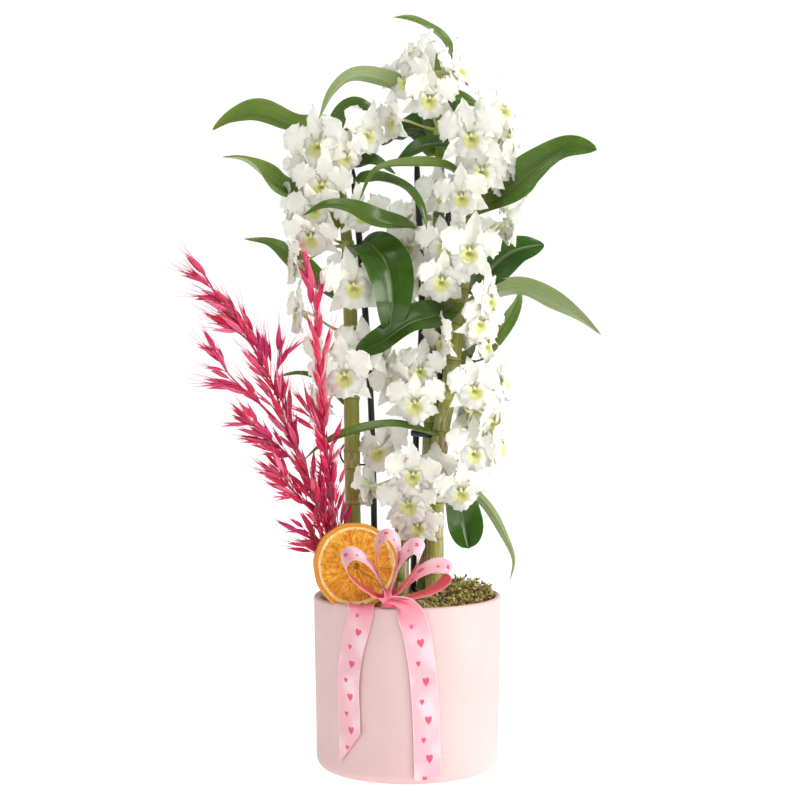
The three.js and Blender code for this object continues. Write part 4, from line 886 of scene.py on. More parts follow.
def moss_pieces(colours, sizes):
    """A rough bed, thousands of curved strands that lean every way, small leaves all along them, of which
    the outer ones are a piece of their own, and a few long wisps at the back of the heap."""
    rng = np.random.default_rng(SEEDS["moss"])
    finish = moss_finish(colours)
    skin, tips = Skin(), Skin()
    ring, turn = np.meshgrid(np.linspace(0.03, 1, 26), full_turn(90), indexing="ij")
    x, y = BED_RADIUS * ring * np.cos(turn), BED_RADIUS * ring * np.sin(turn)
    z = np.where(ring > 0.99, MOSS_EDGE, moss_height(x, y) + rng.normal(0, 0.7, x.shape))
    bed = np.stack([x, y, z], -1)
    under = bed[::-1] * [1, 1, 0] + [0, 0, MOSS_UNDER]
    shell = np.concatenate([under[-1:], under[:1], bed[::-1]])
    skin.grid(shell, along=np.zeros(len(shell)), mark=0.12)

    def strands(skin, spots, reach, profile, lift, tone, bend):
        """Each strand is a thin tube on an arc that starts at its spot, with a profile of its radius: it
        goes straight on along its aim, and bends away with the square of its length."""
        count, bits = len(spots), len(profile)
        head = rng.uniform(0, 2 * np.pi, count)
        rise = np.radians(rng.uniform(*lift, count))
        aim = np.stack([np.cos(head) * np.cos(rise), np.sin(head) * np.cos(rise), np.sin(rise)], 1)
        t = np.linspace(0, 1, bits)[None, :, None]
        size = (reach * rng.uniform(0.55, 1.3, count))[:, None, None]
        sag = rng.uniform(-bend, bend, (count, 1, 3)) - [0, 0, 0.25 * bend]
        line = spots[:, None] + size * (t * aim[:, None] + t ** 2 * sag)
        far = np.linalg.norm(line[..., :2], axis=-1, keepdims=True)
        line[..., :2] *= np.minimum(1, BORE_RADIUS / np.maximum(far, 1))
        skin.grid(tube(line, np.array(profile)[None] * np.ones((count, 1)), 3), mark=tone)
        return line

    reach = sizes.moss_strand / MM
    far = SPOT_RADIUS * np.sqrt(rng.uniform(0, 1, STRANDS))
    spin = rng.uniform(0, 2 * np.pi, STRANDS)
    x, y = far * np.cos(spin), far * np.sin(spin)
    spots = np.stack([x, y, moss_height(x, y) - 0.8], 1)
    patches = 0.52 + 0.3 * np.sin(spots[:, 0] * 0.21 + 2 * np.sin(spots[:, 1] * 0.17))
    tone = np.clip(patches + rng.normal(0, 0.2, STRANDS), 0, 1)
    line = strands(skin, spots, reach, (0.6, 0.55, 0.5, 0.4, 0.2), (2, 40), tone, 0.5)
    for joint in (1, 2, 3, 3):
        strands(skin if joint == 1 else tips, line[:, joint], 0.46 * reach, (0.3, 1.1, 0.9, 0.1), (-35, 60),
            np.clip(tone + rng.normal(0.05, 0.1, STRANDS), 0, 1), 0.35)
    back = np.array(WISPS, float)
    spots = np.column_stack([back, moss_height(back[:, 0], back[:, 1]) - 1])
    strands(skin, spots, 15, np.linspace(0.4, 0.12, 9), (35, 75), np.linspace(0.1, 0.5, len(back)), 0.5)
    skin.make("moss_bed", [finish], "moss", "moss")
    tips.make("moss_tips", [finish], "moss")


# ---------------------------------------------------------------- canes, stakes and clips


CANE_SLOT, SHEATH_SLOT = 0, 1
SHEATH_THICKNESS = 0.3


def cane_taper(cane, share):
    """Full radius over the lower part, then an S-shaped taper to the tip."""
    thick, tip, _ = CANES[cane]
    return thick + (tip - thick) * smooth(0.45, 1, share)


def cane_radius(cane, z):
    """The radius at a height, with the share of the height taken for the share of the length."""
    path = CANES[cane][2]
    return cane_taper(cane, (z - path[0][2]) / (path[-1][2] - path[0][2]))


def cane_pieces(colours):
    """Each cane swells at its nodes as a bell curve and is rounded off at its tip; over most internodes lies
    a dry sheath, cut slanting at its top. The old stub is a ragged tube with two young shoots, spindles
    whose radius is a sine of their length."""
    finishes = [cane_finish(colours), sheath_finish(colours)]
    sides = 28
    turn = full_turn(sides)
    for number, (name, (_, _, path)) in enumerate(CANES.items()):
        rng = np.random.default_rng(SEEDS["canes"] + number)
        skin = Skin()
        nodes = round((path[-1][2] - path[0][2]) / INTERNODE)
        t = np.linspace(0, nodes, 10 * nodes + 1)
        line = curve_through(path, len(t))
        from_node = np.abs(t - np.round(t))
        swelling = np.exp(-(from_node / 0.06) ** 2) + 0.35 * np.sin(np.pi * (t % 1)) - 0.2
        radius = cane_taper(name, t / nodes) + NODE_SWELLING * swelling
        radius = np.where(t > nodes - 0.6, radius * np.sqrt(np.clip((nodes - t) / 0.6, 0.03, 1)), radius)
        skin.grid(tube(line, radius, sides), along=t, mark=CANE_GREEN[name])
        for k in range(nodes - 1):
            cover = rng.uniform(0.55, 1.0)
            if rng.uniform() < BARE_INTERNODES[name]:
                continue
            mouth = k + cover * (0.84 + 0.14 * np.cos(turn + rng.uniform(0, 6)))
            share = np.linspace(0, 1, 7)[:, None]
            here = (k + 0.02) * (1 - share) + mouth * share
            first, second, _ = frame_along(line)
            spot = np.stack([np.interp(here, t, line[:, i]) for i in range(3)], -1)
            wide = np.interp(here, t, radius) + 0.25 + 0.35 * share ** 4 + 0.12 * np.sin(3 * turn + k)
            row = np.clip((here * 10).astype(int), 0, len(t) - 1)
            out = np.cos(turn)[:, None] * first[row] + np.sin(turn)[:, None] * second[row]
            outside, inside = (spot + (wide - depth)[..., None] * out for depth in (0, SHEATH_THICKNESS))
            skin.grid(np.concatenate([outside, inside[::-1]]), slot=SHEATH_SLOT, hoop=True,
                along=np.concatenate([share[:, 0], share[::-1, 0], [0]]) + k, mark=rng.uniform(0.0, 0.5))
        skin.make("cane_" + name + "_sheathed", finishes, "cane", "cane_" + name)
    stub = Skin()
    line = curve_through(OLD_STUB, 24)
    t = np.linspace(0, 3.2, 24)
    ragged = 5.5 + 0.35 * np.sin(full_turn(20) * 5) + 0.4 * np.abs(np.sin(np.pi * t))[:, None]
    stub.grid(tube(line, np.minimum(ragged, 6.2), 20), slot=SHEATH_SLOT, along=t, mark=0.5)
    for path in SHOOTS:
        shoot = curve_through(path, 14)
        swell = 3.1 * np.sin(np.linspace(0.9, np.pi - 0.06, 14)) ** 0.7
        stub.grid(tube(shoot, swell, 14), slot=CANE_SLOT, along=np.linspace(0.1, 0.9, 14), mark=0.9)
    stub.make("old_cane_stub", finishes, "cane", "old_stub")


def stake_pieces(colours):
    """A stake is a rod with eight shallow ribs and a rounded top."""
    finish = stake_finish(colours)
    rows, sides = 60, 32
    for name, path in STAKES.items():
        skin = Skin()
        radius = (STAKE_RADIUS + 0.16 * np.cos(8 * full_turn(sides))) * np.ones((rows, 1))
        radius[-3:] *= np.array([[0.96], [0.8], [0.35]])
        skin.grid(tube(curve_through(path, rows), radius, sides))
        skin.make("stake_" + name + "_ribbed", [finish], "stake", "stake_" + name)


def clip_pieces():
    """A clip is a band on the outline of two joined circles, with a rounded rim. The wire tie is a tube that
    winds round the stake, passes behind the cane, turns back in a smooth bulge beside it, and returns."""
    finish = clip_finish()
    for name, (cane, stake, at) in CLIPS.items():
        skin = Skin()
        a, b = at_height(CANES[cane][2], at), at_height(STAKES[stake], at)
        heading = np.arctan2(b[1] - a[1], b[0] - a[0])
        wide, narrow = cane_radius(cane, at) + NODE_SWELLING + 0.5, STAKE_RADIUS + 0.6
        back = level(heading + np.linspace(np.pi / 2, 3 * np.pi / 2, 22))
        front = level(heading + np.linspace(-np.pi / 2, np.pi / 2, 14))
        outline = np.concatenate([a[:2] + wide * back, b[:2] + narrow * front])
        out = np.concatenate([back, front])
        section = np.array([(0.0, -2.4), (1.3, -2.1), (1.6, 0.0), (1.3, 2.1), (0.0, 2.4), (-0.1, 0.0)])
        ring = outline[:, None] + section[:, :1] * out[:, None]
        height = np.broadcast_to(at + section[:, 1], ring.shape[:2])[..., None]
        skin.grid(np.concatenate([ring, height], -1)[::-1], hoop=True)
        skin.make(name + "_band", [finish], "stake", name)
    cane, stake, low, high, bulge, wire = WIRE_TIE
    halfway = (low + high) / 2
    post, stem = at_height(STAKES[stake], halfway), at_height(CANES[cane][2], halfway)
    wound = post[:2] + (STAKE_RADIUS + 0.2 + wire) * level(np.radians([120, 75, 30, -15, -60]))
    back = stem[1] + cane_radius(cane, low) + wire
    upper = [(x, y, high) for x, y in [*wound, (stem[0] + 8, back + 0.6), (stem[0], back)]]
    side = [(stem[0] - 6, back - 0.8, high - 1.5), (stem[0] - bulge, back - 1.4, halfway)]
    half = np.array([*upper, *side])
    path = np.concatenate([half, half[-2::-1] * [1, 1, -1] + [0, 0, low + high]])
    skin = Skin()
    skin.grid(tube(curve_through(path, 130), wire, 10))
    skin.make("wire_tie_" + cane, [finish], "stake")


# ---------------------------------------------------------------- leaves


# How much wider a leaf is than the half width given for it.
LEAF_FULLNESS = 1.16
# How far each leaf is from its full dark green towards a young yellow green.
LEAF_TONES = {
    "upper_left": 0.85, "second_left": 0.9, "third_left": 0.8, "low_left": 0.6, "back_left": 0.35,
    "short_left": 0.15, "bowed_left": 0.3, "hanging_left": 0.05, "crown_front": 0.4, "crown_tip": 0.6,
    "crown_back": 0.2, "back_middle": 0.0, "folded_middle": 0.32, "low_middle": 0.05, "side_middle": 0.15,
    "front_right": 0.1, "long_right": 0.75, "broad_right": 0.35, "second_right": 0.0, "drooping_right": 0.9,
    "rising_right": 0.35, "curled_right": 0.05, "level_right": 0.5, "trailing_right": 0.6,
}
# Leaves that end round instead of in a point, and how round.
BLUNT_LEAVES = {
    "low_middle": 1.0, "hanging_left": 0.5, "broad_right": 0.45, "second_right": 0.3, "upper_left": 0.3,
}


def leaf_surface(cane, at, half, fold, faces, path, blunt, thickness, rng):
    """The midrib runs along a smooth line. The width swells as a sine and closes in a short point, or with
    blunt in a round end. Across it, the edges fold up with the width and ripple a little, both more
    towards the rim, and a narrow groove, a bell curve across, marks the midrib."""
    rows, cols = 44, 21
    axis = at_height(CANES[cane][2], at)
    aside = unit((np.array(path[0], float) - axis) * [1, 1, 0])
    start = axis + aside * (0.9 * cane_radius(cane, at))
    line = curve_through([start, *path], rows)
    t = np.linspace(0, 1, rows)
    forward = unit(np.gradient(line, axis=0))
    face = unit(faces[0] * (1 - t[:, None]) + faces[1] * t[:, None])
    across = unit(np.cross(forward, face))
    face = np.cross(across, forward)
    swell = 0.26 + 0.74 * np.sin(np.pi * (0.10 + (0.90 - 0.24 * blunt) * t ** (0.95 + 0.2 * blunt))) ** 0.8
    width = np.maximum(half * LEAF_FULLNESS * swell * np.sqrt(1 - t ** (5 + 5 * blunt)), 0.25)
    u = np.linspace(-1, 1, cols)
    ripple = 0.16 * half * np.sin(2 * np.pi * (1.7 * t[:, None] + rng.uniform() + 0.25 * np.sign(u)))
    width = width[:, None]
    lift = fold * width * 1.6 * np.abs(u) ** 1.15 + ripple * np.abs(u) ** 2 * np.sin(np.pi * t)[:, None]
    lift = lift - 0.07 * width * np.exp(-(u / 0.10) ** 2)
    middle = line[:, None] + across[:, None] * (width * u)[..., None] + face[:, None] * lift[..., None]
    thin = thickness * (0.28 + 0.72 * np.exp(-(u / 0.3) ** 2)) * (1 - 0.5 * t[:, None])
    return thin_shell(middle, thin)


def leaf_pieces(colours, sizes):
    """Each leaf is glossy and deep above, dull and pale below."""
    top = leaf_finish("leaf_top", colours.leaf, colours.leaf_young, roughness=0.20, gloss=0.22, wax=0.35,
        glow=0.12, contrast=0.14, rib=0.35)
    under = leaf_finish("leaf_under", colours.leaf_under, shade(colours.leaf_under, (1.7, 1.6, 1.9)),
        roughness=0.4, gloss=0.2, wax=0.0, glow=0.0, contrast=0.12, rib=0.5)
    for number, (name, (cane, at, half, fold, base, tip, path)) in enumerate(LEAVES.items()):
        rng = np.random.default_rng(SEEDS["leaves"] + number)
        ring = leaf_surface(cane, at, half, fold, np.array([base, tip], float), path,
            BLUNT_LEAVES.get(name, 0.0), sizes.leaf_thickness / MM, rng)
        skin = Skin()
        cols = (ring.shape[1] + 2) // 2
        skin.grid(ring, slot=both_faces(cols), across=both_ways(cols), mark=LEAF_TONES[name])
        skin.make("leaf_blade_" + name, [top, under], "leaf", "leaf_" + name)


# ---------------------------------------------------------------- blooms


# How far from the middle of a bloom its blades start, and the rows and columns of a blade.
HEART = 2.2
BLADE_ROWS, BLADE_COLUMNS = 21, 13
PETAL_SLOT, LIP_SLOT, COLUMN_SLOT, STALK_SLOT = range(4)
# How far along the lip its stain reaches.
LIP_STAIN = 0.61


def blade_of_bloom(turn, reach_to, half, broadest, blunt, lean, curl, cup, wave, ripples, phase):
    """A sepal or petal in its bloom's frame: x to the right, y up, z towards the viewer. Its slope goes
    from lean to lean - curl degrees along it and the middle line adds the slopes up. Its width is a sine
    drawn towards broadest and raised to blunt, notched a little on each side. The edges rise with the
    square of the width (cup) and are crimped by three waves of unlike length; the tip is twisted by a
    fourth, and a shallow groove runs up the middle."""
    v = np.linspace(0, 1, BLADE_ROWS)
    bend = np.radians(lean - curl * v)
    angle = np.radians(turn)
    out = np.array([np.cos(angle), np.sin(angle), 0])
    aside = np.array([-out[1], out[0], 0])
    ahead = np.array([0, 0, 1.0])
    slope = np.cos(bend)[:, None] * out + np.sin(bend)[:, None] * ahead
    step = (reach_to - HEART) / (BLADE_ROWS - 1)
    run = np.cumsum((slope[1:] + slope[:-1]) / 2, 0) * step
    centre = HEART * out + np.concatenate([np.zeros((1, 3)), run])
    face = -np.sin(bend)[:, None] * out + np.cos(bend)[:, None] * ahead
    power = np.log(0.5) / np.log(broadest)
    width = half * np.maximum(np.sin(np.pi * np.minimum(v, 0.993) ** power) ** blunt, 0.30 * (1 - v) ** 2)
    u = np.linspace(1, -1, BLADE_COLUMNS)
    side = np.sign(u) * 0.23
    v = v[:, None]
    notch = 1 + 0.05 * np.sin(2 * np.pi * (2.3 * ripples * v + phase * 3 + side)) * wave * np.abs(u)
    notch = notch + 0.05 * np.sin(2 * np.pi * (4.9 * ripples * v - phase * 5 - side)) * wave * np.abs(u) ** 2
    crimp = (np.sin(2 * np.pi * (ripples * v + phase + side))
        + 0.6 * np.sin(2 * np.pi * (2.7 * ripples * v - phase - side))
        + 0.3 * np.sin(2 * np.pi * (5.1 * ripples * v + 2 * phase)))
    lift = cup * width[:, None] * u ** 2 + wave * np.abs(u) ** 2.4 * crimp * np.sin(np.pi * v) ** 0.5
    lift = lift + 0.5 * wave * v ** 6 * np.sin(2 * np.pi * (phase + 0.6 * u))
    lift = lift - 0.05 * half * np.exp(-(u / 0.16) ** 2) * (1 - v)
    return centre[:, None] + aside * (width[:, None] * u * notch)[..., None] + face[:, None] * lift[..., None]


def lip_of_bloom(reach_to, phase, frill, rows=19, cols=57):
    """A cup slit along its top that flares into a wide lip, in the bloom's frame. Round it, phi runs 150
    degrees each way from straight down. Along it, the radius opens quickly in the cup, slows, and spreads
    again in the flare; the depth rises as a sine and falls back at the rim, which is scalloped."""
    v = np.linspace(0, 1, rows)[:, None]
    u = np.linspace(1, -1, cols)[None]
    phi = u * np.radians(150) * (1 - 0.08 * v)
    rim = reach_to * (1 - 0.32 * np.abs(u) ** 2.0)
    radius = 0.5 + (rim - 0.5) * (0.46 * v ** 0.7 + 0.54 * v ** 2.4)
    teeth = np.sin(17 * phi + phase) + 0.6 * np.sin(29 * phi - phase) + 0.8 * np.sin(6 * phi + 2 * phase)
    radius = radius * (1 + 0.038 * v ** 5 * teeth)
    wave = np.sin(4 * phi + phase) + 0.5 * np.sin(9 * phi - 2 * phase) + 0.22 * np.sin(23 * phi) * v ** 3
    depth = 5.4 * np.sin(np.pi * 0.74 * v ** 0.8) - 1.2 * v ** 3 * np.abs(u) + frill * v ** 3 * wave
    x, y = radius * np.sin(phi), -1.8 - radius * np.cos(phi)
    return np.stack([x, y - 0.10 * depth, depth - 0.10 * y], -1)


def bloom_frame(azimuth, lift, turn):
    """The directions of a bloom's x, y and z: z looks azimuth round from the front and lift upwards, y is
    as upright as it can be, and then x and y turn about z."""
    a, e, r = np.radians([azimuth, lift, turn])
    ahead = np.array([np.sin(a) * np.cos(e), -np.cos(a) * np.cos(e), np.sin(e)])
    up = unit(np.array([0, 0, 1.0]) - ahead * ahead[2])
    right = np.cross(up, ahead)
    return np.stack([right * np.cos(r) + up * np.sin(r), up * np.cos(r) - right * np.sin(r), ahead])


def bloom(skin, row, node, ring, rng, sizes):
    """Three sepals behind two petals, the lip, the column over it and the spur behind, both tubes on a
    parabola, and the stalk on a cubic curve from the spur to the node of the cane."""
    x, y, z, azimuth, lift, turn, size = row
    basis, place = bloom_frame(azimuth, lift, turn), np.array([x, y, z], float)
    tone = rng.uniform(0, 1)

    def add(surface, slot, thickness=None, **how):
        """Turns and sizes a surface of the bloom, puts it in place and makes a blade a thin shell."""
        world = surface * size @ basis + place
        if thickness is not None:
            world, how["across"] = thin_shell(world, thickness), both_ways(surface.shape[1])
        skin.grid(world, slot=slot, mark=tone, **how)

    def jitter(spread):
        """A small difference either way."""
        return rng.uniform(-spread, spread)

    reach, half, slim = sizes.petal_length / MM, sizes.petal_half / MM, sizes.sepal_half / MM
    flesh = 0.7 * (1 - 0.45 * np.linspace(0, 1, BLADE_ROWS)[:, None])
    open_share = rng.uniform(0.5, 1.3)
    for angle, longer in ((90, 1.06), (216, 0.98), (324, 0.98)):
        add(blade_of_bloom(angle + jitter(10), reach * longer * (1 + jitter(0.08)), slim * (1 + jitter(0.12)),
            0.42, 1.0, 14 * open_share + jitter(12), 28 + jitter(36), 0.16 + jitter(0.16), 1.0, 1.3,
            rng.uniform()), PETAL_SLOT, flesh)
    for angle in (28, 152):
        add(blade_of_bloom(angle + jitter(9), reach * (1 + jitter(0.07)), half * (1 + jitter(0.08)),
            0.58, 0.62, 30 * open_share + jitter(9), 44 + jitter(30), 0.05 + jitter(0.10), 2.3, 1.4,
            rng.uniform()), PETAL_SLOT, flesh)
    add(lip_of_bloom(sizes.lip_reach / MM * (1 + jitter(0.05)), rng.uniform(0, 6), 1.3), LIP_SLOT, 0.5)
    t = np.linspace(0, 1, 12)[:, None]
    column = np.array([0, 1.3, 0.6]) + t * [0.3, -0.6, 4.2] + t ** 2 * [0, -1.2, 0]
    column_radius = 1.05 + 0.25 * np.sin(np.pi * t) - 0.9 * smooth(0.8, 1.02, t)
    add(tube(column, column_radius[:, 0], 12), COLUMN_SLOT)
    spur = np.array([0, -0.6, 0.2]) + t * [0, -1.5, -4.6] + t ** 2 * [0, -5.0, -1.5]
    add(tube(spur, (2.5 - 1.7 * t ** 1.3)[:, 0], 12), STALK_SLOT, along=np.linspace(1, 0.35, 12))
    back = place - basis[2] * 2.0 * size
    side = unit((place - node) * [1, 1, 0])
    foot = node + side * (ring - 0.6) + [0, 0, np.clip((z - node[2]) * 0.12, -2.2, 2.2)]
    reach_out = 0.42 * np.linalg.norm(back - foot)
    out_of_node = foot + side * reach_out + [0, 0, 1.5]
    into_spur = back - basis[2] * reach_out * 0.8 - [0, 0, 1.0]
    s = np.linspace(0, 1, 14)[:, None]
    line = ((1 - s) ** 3 * foot + 3 * s * (1 - s) ** 2 * out_of_node + 3 * s ** 2 * (1 - s) * into_spur
        + s ** 3 * back)
    skin.grid(tube(line, (1.25 - 0.35 * np.sin(np.pi * s))[:, 0], 10), slot=STALK_SLOT, mark=tone)


def bloom_pieces(colours, sizes):
    """Each truss is a collar round its cane, a tube that bulges as a cosine, and the blooms on it."""
    materials = [petal_finish("petal", colours), petal_finish("lip", colours, LIP_STAIN), column_finish(),
        stalk_finish()]
    for name, (cane, at, seed, blooms) in TRUSSES.items():
        rng = np.random.default_rng(seed)
        skin = Skin()
        path = CANES[cane][2]
        node = at_height(path, at)
        ring = cane_radius(cane, at) + NODE_SWELLING
        heights = np.linspace(-3, 3, 7)
        collar = np.stack([at_height(path, at + h) for h in heights])
        bulge = ring + 0.9 * np.cos(heights / 3 * np.pi / 2)
        skin.grid(tube(collar, bulge, 20), slot=STALK_SLOT, along=np.linspace(0, 0.3, 7))
        for row in blooms:
            bloom(skin, row, node, ring, rng, sizes)
        skin.make("blooms_on_" + name, materials, "petal", "blooms_" + name)


# ---------------------------------------------------------------- oats


# How many spikelets leave a stem together.
WHORL = 5


def spikelets(skin, starts, headings, lengths, tones, rng):
    """A spikelet is three slender husks that part towards their tips and two hair-thin awns. Each husk is
    a flattened spindle: its radius is a sine of its length drawn towards its base."""
    n = len(starts)
    first = unit(np.cross(headings, rng.normal(0, 1, (n, 3))))
    second = np.cross(headings, first)
    for side, size, wide in ((1, 1.0, 1.0), (-1, 0.86, 0.9), (0.1, 0.62, 0.7)):
        t = np.linspace(0, 1, 8)[None, :, None]
        part = 0.085 * side * t ** 1.4
        droop = np.array([0, 0, -0.10]) * t ** 2
        onward = t * headings[:, None] + part * first[:, None] + droop
        line = starts[:, None] + (lengths * size)[:, None, None] * onward
        swell = np.sin(np.pi * np.clip(t[..., 0], 0.03, 0.985) ** 0.62) ** 1.1
        radius = (0.10 * wide * lengths)[:, None] * swell
        turn = full_turn(6)[:, None]
        flat = np.cos(turn) * first[:, None, None] * 0.45 + np.sin(turn) * second[:, None, None]
        skin.grid(line[:, :, None] + radius[..., None, None] * flat, mark=np.clip(tones + 0.12 * side, 0, 1))
    t = np.linspace(0, 1, 5)[None, :, None]
    for lean in (0.14, -0.10):
        root = starts[:, None] + (lengths * 0.5)[:, None, None] * headings[:, None]
        onward = t * (headings + lean * first)[:, None] + t ** 2 * [0, 0, -0.05]
        awn = root + (lengths * 0.95)[:, None, None] * onward
        skin.grid(tube(awn, 0.2 * np.linspace(1, 0.35, 5)[None] * np.ones((n, 1)), 3), mark=tones)


def oat_pieces(colours, sizes):
    """Along each drooping stem, spikelets ride on hair-thin branches that leave it all round at a narrow
    angle, in loose whorls, and point on towards the tip."""
    finish = oat_finish(colours)
    full, rows = sizes.spikelet_length / MM, 60
    for number, (name, stems) in enumerate(OAT_STEMS.items()):
        rng = np.random.default_rng(SEEDS["oats"] + number)
        skin = Skin()
        for path, start, count, spread in stems:
            line = curve_through(path, rows)
            line = line[: max(12, round(rows * (1 - 0.65 * full / run_of(line))))]
            skin.grid(tube(line, np.linspace(1.15, 0.45, len(line)), 8), mark=0.35)
            whorl = (np.arange(count) // WHORL * WHORL + WHORL // 2) / (count - 1)
            where = start + (0.995 - start) * np.clip(whorl + rng.normal(0, 0.02, count), 0, 1)
            row = np.clip(where, 0, 1) * (len(line) - 1)
            root = np.stack([np.interp(row, np.arange(len(line)), line[:, i]) for i in range(3)], 1)
            first, second, forward = (d[np.round(row).astype(int)] for d in frame_along(line))
            turn = rng.uniform(0, 2 * np.pi, count)
            aside = np.cos(turn)[:, None] * first + np.sin(turn)[:, None] * second
            heading = unit(forward + aside * (spread * rng.uniform(0.3, 1.3, count))[:, None])
            branch = rng.uniform(2, 17, count) * np.where(where > 0.9, 0.3, 1)
            s = np.linspace(0, 1, 5)[None, :, None]
            hang = unit(heading + [0, 0, -0.12] + rng.normal(0, 0.08, (count, 3)))
            elbow = root[:, None] + branch[:, None, None] * (s * heading[:, None])
            skin.grid(tube(elbow, np.full((count, 5), 0.3), 4), mark=0.3)
            spikelets(skin, elbow[:, -1], hang, full * rng.uniform(0.62, 1.05, count),
                np.clip(rng.normal(0.42, 0.26, count), 0, 1), rng)
        skin.make("dyed_oats_" + name, [finish], "oat", "oat_spray_" + name)


# ---------------------------------------------------------------- orange


def slice_piece(colours):
    """A disc in polar form. Its face is level on the rind and pith and sinks into each segment; the depth
    of a point is the product of its distances, smoothed, to the pith and to the nearest membrane. Radial
    wrinkles roughen the flesh, and the whole disc is warped a little."""
    segments, flesh, outer, half = 10, 27.6, 32.0, 3.0
    radii = np.concatenate([np.linspace(1.0, 4, 5)[:-1], np.linspace(4, flesh + 0.6, 28)[:-1],
        np.linspace(flesh + 0.6, outer - 0.9, 8)])
    edge = np.linspace(0, np.pi, 9)[1:-1]
    profile_r = np.concatenate([radii, outer - 0.9 + 0.9 * np.sin(edge), radii[::-1]])
    profile_z = np.concatenate([np.ones(len(radii)), np.cos(edge), -np.ones(len(radii))])
    turn = np.linspace(2 * np.pi, 0, 240, endpoint=False)
    r, a = np.meshgrid(profile_r, turn, indexing="ij")
    bent = a + 0.12 * np.sin(2 * a + 1) + 0.05 * np.sin(5 * a)
    sector = bent * segments / (2 * np.pi) % 1
    to_membrane = np.minimum(sector, 1 - sector) * 2 * np.pi / segments * r
    edge_of_flesh = flesh - 1.1 * np.abs(2 * sector - 1) ** 3 + 0.5 * np.sin(3 * a) + 0.25 * np.sin(17 * a)
    inside = smooth(0.15, 0.8, to_membrane) * smooth(0.0, 1.0, edge_of_flesh - r) * smooth(1.8, 3.6, r)
    sacs = 0.5 * np.sin(26 * bent + 0.5 * r) * np.sin(0.7 * r + 3 * np.sin(4 * bent))
    wrinkles = 0.5 * np.sin(61 * bent + r)
    depth = half - inside * (0.75 + 0.34 * (sacs + wrinkles)) - 1.1 * smooth(3.2, 0.8, r)
    wobble = 1 + 0.012 * np.sin(3 * a + 1) + 0.006 * np.sin(11 * a)
    wide = np.where(r > flesh, r * wobble, r)
    warp = 0.5 * np.sin(2 * a + 0.6) * (r / outer) ** 2
    local = np.stack([wide * np.cos(a), wide * np.sin(a), profile_z[:, None] * depth + warp], -1)
    middle, back, spin = SLICE
    tilt, spin = np.radians(90 - back), np.radians(spin)
    lean = np.array([[1, 0, 0], [0, np.cos(tilt), np.sin(tilt)], [0, -np.sin(tilt), np.cos(tilt)]])
    swing = np.array([[np.cos(spin), np.sin(spin), 0], [-np.sin(spin), np.cos(spin), 0], [0, 0, 1]])
    far = travelled(np.stack([profile_r, profile_z * half], 1))
    skin = Skin()
    skin.grid(local @ lean @ swing + middle, along=far / far[-1], mark=inside)
    skin.make("dried_orange_slice", [orange_finish(colours)], "orange", "orange_slice")


# ---------------------------------------------------------------- bow


# Points across a strip of ribbon.
RIBBON_COLUMNS = 25


def end_share(line):
    """0 along most of a line, rising to 1 at its end as an S-shaped cubic, one row for each point."""
    return smooth(0.6, 1, np.linspace(0, 1, len(line)))[:, None]


def strip(line, across, width, pleat, thickness, slant=0.0):
    """A band along a line: straight across its width, except where pleat is above 0 and it folds into a
    wave of one and a half periods that takes up the width it loses. slant cuts its end askew."""
    forward = unit(np.gradient(line, axis=0))
    wide = unit(across - forward * (across * forward).sum(1, keepdims=True))
    out = np.cross(wide, forward)
    s = np.linspace(-0.5, 0.5, RIBBON_COLUMNS)
    pleat = np.broadcast_to(pleat, len(line))[:, None]
    drawn = width * s * (1 - 0.72 * pleat)
    fold = 0.16 * width * pleat * np.sin(3 * np.pi * s)
    askew = slant * s * end_share(line)
    middle = (line[:, None] + wide[:, None] * drawn[..., None] + out[:, None] * fold[..., None]
        + forward[:, None] * askew[..., None])
    return thin_shell(middle, thickness * np.where(np.abs(s) > 0.49, 0.4, 1.0))


def add_ribbon(name, line, across, pleat, deep, sizes, materials, slant=0.0):
    """A strip of ribbon as a piece of its own, pink where deep is 1."""
    width, thickness = sizes.ribbon_width / MM, sizes.ribbon_thickness / MM
    skin = Skin()
    run, columns = run_of(line), both_ways(RIBBON_COLUMNS)
    askew = slant / run * (columns - 0.5) * end_share(line)
    # deep is painted shade: the pink deepens where the ribbon is gathered into folds.
    skin.grid(strip(line, across, width, pleat, thickness, slant), slot=both_faces(RIBBON_COLUMNS),
        across=columns, mark=np.broadcast_to(deep, len(line))[None, :, None], askew=askew)
    piece = skin.make(name, materials, "ribbon")


